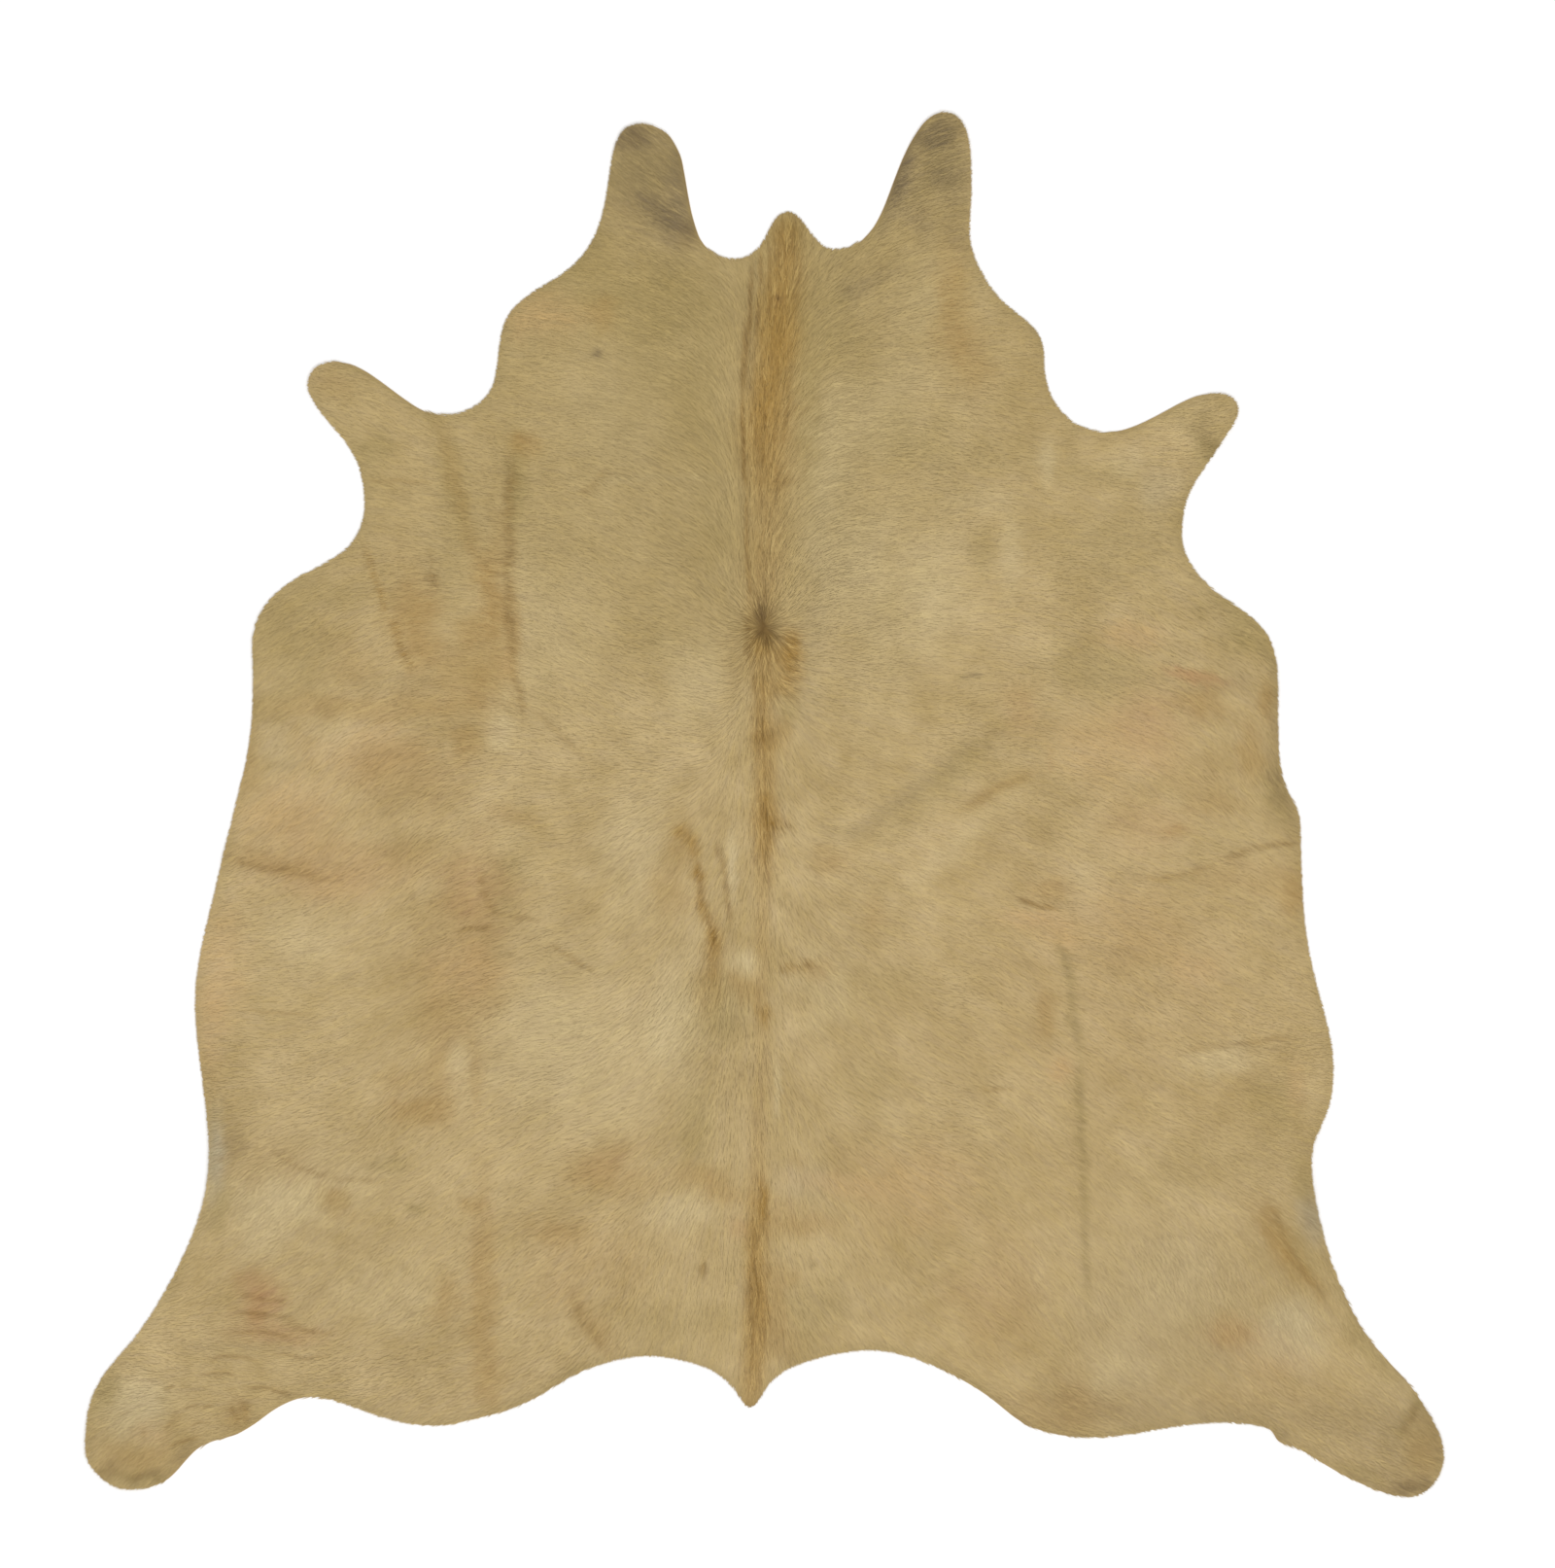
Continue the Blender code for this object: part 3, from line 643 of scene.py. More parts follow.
# How strong the spine's tint is on its way from tail to neck. Columns: y_mm, strength
SPINE_TINT = (
    (-950, 0.50),
    (-700, 0.45),
    (-400, 0.18),
    (-60, 0.35),
    (120, 0.36),
    (320, 0.46),
    (470, 0.42),
    (620, 0.80),
    (900, 0.66),
)

# How the spine's band sways, in shares of its half-width and metres, how sharp its sides are, and
# where it fades at the tail and at the neck: from y, over a length, in metres
SPINE_SWAY = 0.25
SPINE_SWAY_SIZE = 0.09
SPINE_SHARPNESS = 2.4
SPINE_TAIL_FADE = (-1.02, 0.08)
SPINE_NECK_FADE = (0.955, 0.05)

# How a cloud's edge bends: waves of its smaller reach, with a least size in metres. Columns: size
# and swing as shares of that. Below it, how many reaches out a cloud ends and how sharp its edge is
CLOUD_WAVE = 0.8
LEAST_CLOUD_WAVE = 0.012
CLOUD_BENDS = ((1.0, 0.45), (0.4, 0.2))
CLOUD_END = 2.2
CLOUD_SHARPNESS = 1.45

# How a crease bends: sizes in metres of its waves, and their swing in shares of its width. Below
# it, what is left between its breaks, with their waves (size in metres, swing), the half-width of
# its colour and of its groove in shares of its width, and how it fades at its ends
CREASE_WAVES = (0.03, 0.009)
CREASE_SWAY = 0.35
CREASE_WHOLE = 0.85
CREASE_BREAKS = ((0.02, 0.2), (0.008, 0.25))
CREASE_COLOUR = 0.6
CREASE_GROOVE = 0.9
CREASE_END_LENGTH = 0.18
CREASE_END_SHARE = 0.15

# A dark crease is brown at its sides, painted shade together with the darker hair of the parting: strength of
# the brown, and of the dark that is left
CREASE_BROWN = 0.8
CREASE_DARK = 0.72

# Painted shade on the coat where it rounds over the cut edge: its reach in metres, and its tints with their
# strengths
RIM_PAINTED_SHADE_REACH = 0.013
RIM_PAINTED_SHADE = (("olive", 0.35), ("grey", 0.14))

# The point attributes that carry three tints each, and the coat colour's inputs for them
MARKS = (("marks_a", "Marks A"), ("marks_b", "Marks B"), ("marks_c", "Marks C"))

# How a hair's streak changes tints lighter and darker than the coat, and its blue: slope, base
STREAK_ON_LIGHT = (0.8, 0.6)
STREAK_ON_DARK = (-0.8, 1.4)
STREAK_ON_BLUE = (0.16, 0.92)

# Share of a hair over which its root's shade fades out
ROOT_SHADE_END = 0.6

# Leather as linear light
LEATHER = {
    "cut deep": (0.46, 0.33, 0.19, 1),
    "cut pale": (0.56, 0.43, 0.27, 1),
    "cut fibre": (0.30, 0.20, 0.11, 1),
    "suede deep": (0.55, 0.45, 0.33, 1),
    "suede pale": (0.68, 0.59, 0.46, 1),
    "suede vein": (0.44, 0.34, 0.23, 1),
    "suede nap": (0.78, 0.70, 0.58, 1),
}

# Colours of the coat, as sRGB 0 to 255. Olive, grey, tan, spine and dark also lay painted shade into folds,
# creases and the cut edge, and pale lays painted highlight and sheen
PALETTE = {
    "coat deep": (166, 142, 91),
    "coat light": (189, 166, 119),
    "spine": (149, 113, 42),
    "olive": (148, 128, 74),
    "tan": (157, 124, 64),
    "dark": (84, 58, 12),
    "red": (168, 124, 78),
    "pale": (203, 185, 142),
    "grey": (112, 95, 64),
    "peach": (192, 156, 107),
    "ash": (170, 157, 128),
}


def linear(name):
    """A palette colour as linear light, with alpha."""
    parts = [value / 255 for value in PALETTE[name]]
    light = [v / 12.92 if v <= 0.04045 else ((v + 0.055) / 1.055) ** 2.4 for v in parts]
    return (*light, 1.0)


def smooth_step(t):
    """0 to 1 with flat ends."""
    t = np.clip(t, 0, 1)
    return t * t * (3 - 2 * t)


def wander(x, y, size, seed):
    """Soft random waves from -1 to 1 that repeat about every `size` metres."""
    cells = 64
    lattice = np.random.RandomState(seed).uniform(-1, 1, (cells, cells))
    u = x / size + 1000.37
    v = y / size + 1000.61
    column = np.floor(u).astype(int)
    row = np.floor(v).astype(int)
    fade_u = smooth_step(u - column)
    fade_v = smooth_step(v - row)
    near = lattice[row % cells, column % cells] * (1 - fade_u)
    near += lattice[row % cells, (column + 1) % cells] * fade_u
    far = lattice[(row + 1) % cells, column % cells] * (1 - fade_u)
    far += lattice[(row + 1) % cells, (column + 1) % cells] * fade_u
    return near * (1 - fade_v) + far * fade_v


def bends(x, y, waves, seed):
    """Two random shifts, for x and for y, each the sum of waves given as (size, swing) in metres."""
    return [
        sum(swing * wander(x, y, size, first + i) for i, (size, swing) in enumerate(waves))
        for first in (seed, seed + 500)
    ]


class Chart:
    """Values on a square grid laid over the rug, read back smoothly at any x, y."""

    def __init__(self, pitch, layers=1):
        low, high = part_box(NODE)
        self.pitch = pitch
        self.x = np.arange(low[0] - CHART_MARGIN, high[0] + CHART_MARGIN + pitch, pitch)
        self.y = np.arange(low[1] - CHART_MARGIN, high[1] + CHART_MARGIN + pitch, pitch)
        self.values = np.zeros((len(self.y), len(self.x), layers))

    def grid(self):
        """x and y of every point of the grid."""
        return np.meshgrid(self.x, self.y)

    def near(self, x, y, reach):
        """The part of the grid within reach of a box round x, y: its slice, and x and y there."""
        columns = slice(*np.searchsorted(self.x, (np.min(x) - reach, np.max(x) + reach)))
        rows = slice(*np.searchsorted(self.y, (np.min(y) - reach, np.max(y) + reach)))
        grid_x, grid_y = np.meshgrid(self.x[columns], self.y[rows])
        return (rows, columns), grid_x, grid_y

    def read(self, x, y):
        """Values at x, y, one row a point."""
        u = np.clip((x - self.x[0]) / self.pitch, 0, len(self.x) - 1.001)
        v = np.clip((y - self.y[0]) / self.pitch, 0, len(self.y) - 1.001)
        column = u.astype(int)
        row = v.astype(int)
        fade_u = (u - column)[:, None]
        fade_v = (v - row)[:, None]
        near = self.values[row, column] * (1 - fade_u) + self.values[row, column + 1] * fade_u
        far = self.values[row + 1, column] * (1 - fade_u) + self.values[row + 1, column + 1] * fade_u
        found = near * (1 - fade_v) + far * fade_v
        return found[:, 0] if self.values.shape[2] == 1 else found


def blurred(values, cells):
    """Values averaged over a square of 2 x cells + 1, twice."""
    width = 2 * cells + 1
    for axis in (0, 1, 0, 1):
        reach = [(0, 0)] * values.ndim
        reach[axis] = (cells + 1, cells)
        total = np.cumsum(np.pad(values, reach, mode="edge"), axis=axis)
        upper = np.take(total, range(width, total.shape[axis]), axis=axis)
        lower = np.take(total, range(total.shape[axis] - width), axis=axis)
        values = (upper - lower) / width
    return values


def spread_out(values, known, cells):
    """Values blurred, and carried past the edge of where they are known."""
    weight = known.astype(float)
    values = np.where(known, values, 0.0)
    filled = values
    covered = weight
    for _ in range(4):
        filled = blurred(filled, cells)
        covered = blurred(covered, cells)
        more = (covered > 1e-3) & (weight < 0.5)
        values = np.where(more, filled / np.maximum(covered, 1e-6), values)
        weight = np.where(more, 1.0, weight)
        filled = values * weight
        covered = weight
    return blurred(values * weight, cells) / np.maximum(blurred(weight, cells), 1e-6)


def merged_copy(node):
    """The node's shape with its doubled points joined, as a bmesh of its own."""
    shape = bmesh.new()
    shape.from_mesh(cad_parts[node].data)
    bmesh.ops.remove_doubles(shape, verts=shape.verts, dist=1e-5)
    shape.normal_update()
    return shape


def lower_edge(shape):
    """The closed line where the cut side meets the underside, anticlockwise from above."""
    links = {}
    for edge in shape.edges:
        tilts = sorted(face.normal.z for face in edge.link_faces)
        if len(tilts) == 2 and tilts[0] < -0.6 and abs(tilts[1]) <= 0.6:
            a, b = edge.verts
            links.setdefault(a, []).append(b)
            links.setdefault(b, []).append(a)
    start = next(iter(links))
    loop = [start]
    previous = None
    while True:
        onward = [v for v in links[loop[-1]] if v is not previous]
        if not onward or onward[0] is start:
            break
        previous = loop[-1]
        loop.append(onward[0])
    points = np.array([v.co[:] for v in loop])[:, :2]
    x, y = points.T
    if np.sum(x * np.roll(y, -1) - np.roll(x, -1) * y) < 0:
        points = points[::-1]
    return points


def evened(points, pitch):
    """A smooth closed curve through the points, with a point about every pitch."""
    before = np.roll(points, 1, axis=0)
    after = np.roll(points, -1, axis=0)
    beyond = np.roll(points, -2, axis=0)
    curve = []
    for a, b, c, d in zip(before, points, after, beyond):
        count = max(1, round(np.linalg.norm(c - b) / pitch))
        t = (np.arange(count) / count)[:, None]
        curve.append(
            0.5 * (2 * b + (c - a) * t + (2 * a - 5 * b + 4 * c - d) * t**2 + (3 * b - a - 3 * c + d) * t**3)
        )
    return np.concatenate(curve)


def moved_in(points, distance):
    """A closed anticlockwise line moved towards its inside."""
    along = np.roll(points, -1, axis=0) - np.roll(points, 1, axis=0)
    along /= np.linalg.norm(along, axis=1)[:, None]
    return points + distance * np.stack([-along[:, 1], along[:, 0]], axis=1)


def inside_chart(edge):
    """A chart of how far each place is inside the edge, negative outside it."""
    chart = Chart(CHART_PITCH)
    walls = [Vector((x, y, z)) for x, y in edge for z in (-1, 1)]
    count = len(edge)
    faces = [(2 * i, 2 * i + 1, (2 * i + 3) % (2 * count), (2 * i + 2) % (2 * count)) for i in range(count)]
    tree = BVHTree.FromPolygons(walls, faces)
    ends = np.roll(edge, -1, axis=0)
    for row, y in enumerate(chart.y):
        crossing = (edge[:, 1] > y) != (ends[:, 1] > y)
        share = (y - edge[crossing, 1]) / (ends[crossing, 1] - edge[crossing, 1])
        cuts = np.sort(edge[crossing, 0] + share * (ends[crossing, 0] - edge[crossing, 0]))
        inside = np.searchsorted(cuts, chart.x) % 2 == 1
        gaps = [tree.find_nearest(Vector((x, y, 0)))[3] for x in chart.x]
        chart.values[row, :, 0] = np.where(inside, gaps, -np.array(gaps))
    return chart


def height_charts(shape):
    """Charts of the solid's underside and of its top."""
    tree = BVHTree.FromBMesh(shape)
    charts = []
    for start, way in ((-1.0, 1.0), (1.0, -1.0)):
        chart = Chart(CHART_PITCH)
        found = np.full(chart.values.shape[:2], np.nan)
        for row, y in enumerate(chart.y):
            for column, x in enumerate(chart.x):
                hit = tree.ray_cast(Vector((x, y, start)), Vector((0, 0, way)))[0]
                if hit is not None:
                    found[row, column] = hit.z
        known = ~np.isnan(found)
        chart.values[:, :, 0] = spread_out(np.nan_to_num(found), known, 1)
        charts.append(chart)
    return charts


def spine_at(y):
    """The spine's x, share of the longest coat and half-width of its band at each y, in metres."""
    rows = np.array(SPINE, float)[::-1]
    at = y / MM
    x, share, band = (np.interp(at, rows[:, 1], rows[:, column]) for column in (0, 2, 3))
    return x * MM, share, band * MM


def comb_chart():
    """A chart of the direction the hair lies in, as x and y parts of a unit arrow."""
    chart = Chart(CHART_PITCH, 2)
    grid_x, grid_y = chart.grid()
    reach = np.array((0, *COMB_REACH), float) * MM
    spine_x = spine_at(grid_y)[0]
    off = grid_x - spine_x
    ahead = np.where(grid_y > WHORL[1], 90.0, -90.0)
    for side, rows in COMB.items():
        table = np.array(rows, float)[::-1]
        table_y = table[:, 0] * MM
        angles = np.radians(table[:, 1:])
        at_side = off < 0 if side == "left" else off >= 0
        for part, turn in enumerate((np.cos, np.sin)):
            columns = [turn(np.radians(ahead))]
            columns += [np.interp(grid_y, table_y, column) for column in turn(angles).T]
            value = np.zeros_like(off)
            for i in range(len(COMB_REACH)):
                share = np.clip((np.abs(off) - reach[i]) / (reach[i + 1] - reach[i]), 0, 1)
                here = (np.abs(off) >= reach[i]) & (np.abs(off) < reach[i + 1])
                value = np.where(here, columns[i] * (1 - share) + columns[i + 1] * share, value)
            value = np.where(np.abs(off) >= reach[-1], columns[-1], value)
            chart.values[:, :, part] = np.where(at_side, value, chart.values[:, :, part])
    for part in range(2):
        chart.values[:, :, part] = blurred(chart.values[:, :, part], 2)
    out_x = grid_x - WHORL[0]
    out_y = grid_y - WHORL[1]
    out = np.hypot(out_x, out_y) + 1e-6
    hold = np.exp(-((out / WHORL_REACH) ** 4))
    for part, arrow in enumerate((out_x / out, out_y / out)):
        chart.values[:, :, part] = chart.values[:, :, part] * (1 - hold) + arrow * hold
    drift = sum(math.radians(turn) * wander(grid_x, grid_y, size, seed) for turn, size, seed in COMB_DRIFT)
    east, north = chart.values[:, :, 0].copy(), chart.values[:, :, 1].copy()
    chart.values[:, :, 0] = east * np.cos(drift) - north * np.sin(drift)
    chart.values[:, :, 1] = east * np.sin(drift) + north * np.cos(drift)
    chart.values /= np.linalg.norm(chart.values, axis=2)[:, :, None] + 1e-9
    return chart


def streak_chart(comb):
    """A chart of fine streaks, from 0 to 1, drawn out along the way the hair lies."""
    chart = Chart(MARK_PITCH)
    grid_x, grid_y = chart.grid()
    arrows = comb.read(grid_x.ravel(), grid_y.ravel()).reshape(*grid_x.shape, 2)
    arrows /= np.linalg.norm(arrows, axis=2)[:, :, None] + 1e-9
    grain = np.random.RandomState(17).uniform(-1, 1, grid_x.shape)
    rows, columns = np.indices(grid_x.shape)
    total = grain.copy()
    for way in (-1, 1):
        row = rows.astype(float)
        column = columns.astype(float)
        for _ in range(STREAK_STEPS):
            at_row = np.clip(np.rint(row), 0, grain.shape[0] - 1).astype(int)
            at_column = np.clip(np.rint(column), 0, grain.shape[1] - 1).astype(int)
            arrow = arrows[at_row, at_column]
            row += way * arrow[:, :, 1]
            column += way * arrow[:, :, 0]
            total += grain[at_row, at_column]
    chart.values[:, :, 0] = np.clip(0.5 + 0.2 * total / total.std(), 0, 1)
    return chart


def curved_line(row):
    """Points of the smooth line through a row's start, middle and end, in metres."""
    start, middle, end = (np.array(row[i : i + 2], float) * MM for i in (0, 2, 4))
    t = np.linspace(0, 1, 33)[:, None]
    return start * (1 - t) * (1 - 2 * t) + middle * 4 * t * (1 - t) + end * t * (2 * t - 1)


def line_share(grid_x, grid_y, row, width):
    """1 on a row's line, fading to 0 at its sides and at its two ends."""
    line = curved_line(row)
    gap = np.full(grid_x.shape, 9.0)
    place = np.zeros(grid_x.shape)
    for i, (x, y) in enumerate(line):
        here = np.hypot(grid_x - x, grid_y - y)
        closer = here < gap
        place[closer] = i / (len(line) - 1)
        gap = np.minimum(gap, here)
    ends = smooth_step(place / CREASE_END_LENGTH) * smooth_step((1 - place) / CREASE_END_LENGTH)
    return np.exp(-((gap / width) ** 2)) * (CREASE_END_SHARE + (1 - CREASE_END_SHARE) * ends)


def mark_charts(inside):
    """A chart of each tint's strength, and a chart of how deep the creases are."""
    marks = Chart(MARK_PITCH, len(TINTS))
    grooves = Chart(MARK_PITCH)

    def add(window, tint, strength):
        """Lays a tint over what its layer already has, never past full strength."""
        layer = marks.values[window + (TINTS.index(tint),)]
        layer[:] = 1 - (1 - layer) * (1 - np.clip(strength, 0, 1))

    seed = 100
    for rows in CLOUDS.values():
        for x, y, reach_x, reach_y, turn, tint, strength in rows:
            seed += 1
            reach = CLOUD_END * max(reach_x, reach_y) * MM
            window, grid_x, grid_y = marks.near(x * MM, y * MM, reach)
            size = max(CLOUD_WAVE * min(reach_x, reach_y) * MM, LEAST_CLOUD_WAVE)
            waves = [(wave * size, swing * size) for wave, swing in CLOUD_BENDS]
            bend_x, bend_y = bends(grid_x, grid_y, waves, seed)
            angle = math.radians(turn)
            off_x = grid_x - x * MM + bend_x
            off_y = grid_y - y * MM + bend_y
            across = (off_x * math.cos(angle) + off_y * math.sin(angle)) / (reach_x * MM)
            along = (off_y * math.cos(angle) - off_x * math.sin(angle)) / (reach_y * MM)
            far = across**2 + along**2
            add(window, tint, strength * np.exp(-(far**CLOUD_SHARPNESS)))
    for x, y, radius, tint, strength in SPOTS:
        window, grid_x, grid_y = marks.near(x * MM, y * MM, 3 * radius * MM)
        far = np.hypot(grid_x - x * MM, grid_y - y * MM) / (radius * MM)
        add(window, tint, strength * np.exp(-(far**3)))
    # The creases' darker tints: painted shade in the fold together with the darker hair that parts there
    for rows in CREASES.values():
        for row in rows:
            width, depth, tint, strength = row[6:]
            line = curved_line(row)
            window, grid_x, grid_y = marks.near(line[:, 0], line[:, 1], 3 * width * MM)
            seed += 1
            sway = CREASE_SWAY * width * MM
            bend_x, bend_y = bends(grid_x, grid_y, [(wave, sway) for wave in CREASE_WAVES], seed)
            bent_x = grid_x + bend_x
            bent_y = grid_y + bend_y
            share = line_share(bent_x, bent_y, row, CREASE_COLOUR * width * MM)
            broken = CREASE_WHOLE
            for i, (size, swing) in enumerate(CREASE_BREAKS):
                broken = broken + swing * wander(grid_x, grid_y, size, seed + 900 + i)
            if tint == "dark":
                add(window, "spine", CREASE_BROWN * strength * share)
                strength *= CREASE_DARK
            add(window, tint, strength * share * broken)
            groove = line_share(bent_x, bent_y, row, CREASE_GROOVE * width * MM)
            grooves.values[window + (0,)] += depth * MM * groove
    grid_x, grid_y = marks.grid()
    everywhere = (slice(None), slice(None))
    spine_x, _, band = spine_at(grid_y)
    sway = SPINE_SWAY * band * wander(grid_x, grid_y, SPINE_SWAY_SIZE, 41)
    off = (grid_x - spine_x + sway) / band
    (tail, tail_fade), (neck, neck_fade) = SPINE_TAIL_FADE, SPINE_NECK_FADE
    along = smooth_step((grid_y - tail) / tail_fade) * smooth_step((neck - grid_y) / neck_fade)
    strength = np.interp(grid_y / MM, *np.transpose(SPINE_TINT))
    add(everywhere, "spine", strength * along * np.exp(-(np.abs(off) ** SPINE_SHARPNESS)))
    # Painted shade along the cut edge, where the coat rounds over it
    rim = inside.read(grid_x.ravel(), grid_y.ravel()).reshape(grid_x.shape)
    rim = np.exp(-((np.maximum(rim, 0) / RIM_PAINTED_SHADE_REACH) ** 2))
    rim *= 0.7 + 0.3 * wander(grid_x, grid_y, 0.12, 47)
    for tint, strength in RIM_PAINTED_SHADE:
        add(everywhere, tint, strength * rim)
    return marks, grooves


def net_inside(inside, pitch, clear, seed):
    """Points of a slightly uneven triangular net, all further than clear inside the edge."""
    rise = pitch * math.sqrt(3) / 2
    x = np.arange(inside.x[0], inside.x[-1], pitch)
    y = np.arange(inside.y[0], inside.y[-1], rise)
    grid_x, grid_y = np.meshgrid(x, y)
    grid_x[1::2] += pitch / 2
    chance = np.random.RandomState(seed)
    grid_x = grid_x.ravel() + chance.uniform(-NET_JITTER, NET_JITTER, grid_x.size) * pitch
    grid_y = grid_y.ravel() + chance.uniform(-NET_JITTER, NET_JITTER, grid_y.size) * pitch
    kept = inside.read(grid_x, grid_y) > clear
    return np.stack([grid_x[kept], grid_y[kept]], axis=1)


def netted(edge, inner):
    """Triangles over the closed edge and the inner points, which keep their order."""
    count = len(edge)
    points = [Vector(p) for p in np.concatenate([edge, inner])]
    found, _, faces, origins, _, owners = delaunay_2d_cdt(points, [], [list(range(count))], 0, 1e-7, True)
    source = [group[0] if group else None for group in origins]
    if len(found) != len(points) or None in source:
        raise RuntimeError("the net's points don't match its edge")
    kept = [face for face, owner in zip(faces, owners) if owner]
    return np.array([[source[corner] for corner in face] for face in kept])


def new_piece(name, points, triangles, materials):
    """An object made of triangles, its place in its mesh and its materials in their slots."""
    mesh = bpy.data.meshes.new(name)
    mesh.vertices.add(len(points))
    mesh.vertices.foreach_set("co", points.astype(np.float32).ravel())
    mesh.loops.add(triangles.size)
    mesh.loops.foreach_set("vertex_index", triangles.astype(np.int32).ravel())
    mesh.polygons.add(len(triangles))
    mesh.polygons.foreach_set("loop_start", np.arange(0, triangles.size, 3, dtype=np.int32))
    mesh.update(calc_edges=True)
    mesh.validate()
    mesh.shade_smooth()
    for material in materials:
        mesh.materials.append(material)
    piece = bpy.data.objects.new(name, mesh)
    bpy.context.scene.collection.objects.link(piece)
    return piece


def add_vectors(mesh, name, rows):
    """Gives each point of the mesh a vector of its own, under a name."""
    attribute = mesh.attributes.new(name, "FLOAT_VECTOR", "POINT")
    attribute.data.foreach_set("vector", rows.astype(np.float32).ravel())


def add_marks(mesh, tints, strand):
    """Gives each point its tints and its hair's facts: tone, place along the hair, streak."""
    for number, (name, _) in enumerate(MARKS):
        add_vectors(mesh, name, tints[:, 3 * number : 3 * number + 3])
    add_vectors(mesh, "strand", strand)


def add_map(mesh, corners):
    """Gives the mesh its own map, one row a corner, named OFBake."""
    layer = mesh.uv_layers.new(name="OFBake")
    layer.data.foreach_set("uv", corners.astype(np.float32).ravel())


def skin_height(x, y, charts):
    """The height of the skin's hair side under the coat."""
    low = charts["low"].read(x, y)
    high = charts["high"].read(x, y)
    height = low + SKIN_SHARE * (high - low)
    rim = smooth_step(charts["inside"].read(x, y) / CALM_RIM)
    for seed, (size, swing) in enumerate(WAVES):
        height = height + rim * swing * wander(x, y, size, 20 + seed)
    return np.maximum(height - CREASE_IN_SKIN * charts["grooves"].read(x, y), low + LEAST_SKIN)


def build_skin(edge, charts, materials):
    """The skin: its hair side, its cut edge in rings and its suede underside, as one closed piece."""
    rim = moved_in(edge, EDGE_INSET)
    top_net = net_inside(charts["inside"], TOP_PITCH, EDGE_INSET + 0.6 * TOP_PITCH, 1)
    under_net = net_inside(charts["inside"], UNDER_PITCH, EDGE_INSET + 0.5 * UNDER_PITCH, 2)
    top_faces = netted(rim, top_net)
    under_faces = netted(rim, under_net)
    count = len(rim)

    def placed(points, share):
        """The points at a share of the skin's depth."""
        x, y = points.T
        low = charts["low"].read(x, y)
        height = skin_height(x, y, charts)
        return np.stack([x, y, low + share * (height - low)], axis=1)

    rings = [placed(moved_in(rim, bite), share) for bite, share in RIM_RINGS]
    top = placed(np.concatenate([moved_in(rim, RIM_BITE), top_net]), 1.0)
    under = placed(np.concatenate([moved_in(rim, RIM_BITE), under_net]), 0.0)
    under_start = len(top)
    ring_starts = [under_start + len(under) + i * count for i in range(len(rings))]
    faces = [top_faces, under_faces[:, ::-1] + under_start]
    lines = [0, *ring_starts, under_start]
    step = np.arange(count)
    onward = (step + 1) % count
    for upper, lower in zip(lines, lines[1:]):
        faces.append(np.stack([upper + step, lower + step, lower + onward], axis=1))
        faces.append(np.stack([upper + step, lower + onward, upper + onward], axis=1))
    points = np.concatenate([top, under, *rings])
    triangles = np.concatenate(faces)
    piece = new_piece("hide_skin", points, triangles, materials)
    slots = np.full(len(triangles), 1, dtype=np.int32)
    slots[: len(top_faces)] = 0
    slots[len(top_faces) : len(top_faces) + len(under_faces)] = 2
    piece.data.polygons.foreach_set("material_index", slots)
    tints = charts["marks"].read(points[:, 0], points[:, 1])
    strand = np.tile([0.5, 0.25, 0.5], (len(points), 1))
    add_marks(piece.data, tints, strand)
    low, high = points.min(axis=0), points.max(axis=0)
    span = max(high[0] - low[0], high[1] - low[1])
    corner = (points[triangles.ravel()][:, :2] - low[:2]) / span
    place = np.array(list(MAP_PLACES.values()))[np.repeat(slots, 3)]
    add_map(piece.data, corner * place[:, :1] + place[:, 1:])
    return piece


def coat_length(x, y, charts):
    """How long the hair is at each place: longer along the spine, shorter on the legs and neck lobes."""
    spine_x, share, _ = spine_at(y)
    off = np.abs(x - spine_x)
    length = BODY_HAIR * (1 + 0.1 * wander(x, y, 0.15, 31))
    limb = smooth_step((np.hypot(x * 0.95, y * 0.9) - LIMB_START) / LIMB_FADE)
    length += limb * (LIMB_HAIR - BODY_HAIR)
    length += np.exp(-((off / SPINE_HAIR_REACH) ** 2)) * share * (SPINE_HAIR - BODY_HAIR)
    whorl = np.exp(-(((x - WHORL[0]) ** 2 + (y - WHORL[1]) ** 2) / WHORL_HAIR_REACH**2))
    return length + whorl * (WHORL_HAIR - length)


def arrows_at(x, y, comb, turn):
    """Unit arrows of the comb at x, y, each turned a little."""
    east, north = comb.read(x, y).T
    size = np.hypot(east, north) + 1e-9
    return (
        (east * np.cos(turn) - north * np.sin(turn)) / size,
        (east * np.sin(turn) + north * np.cos(turn)) / size,
    )


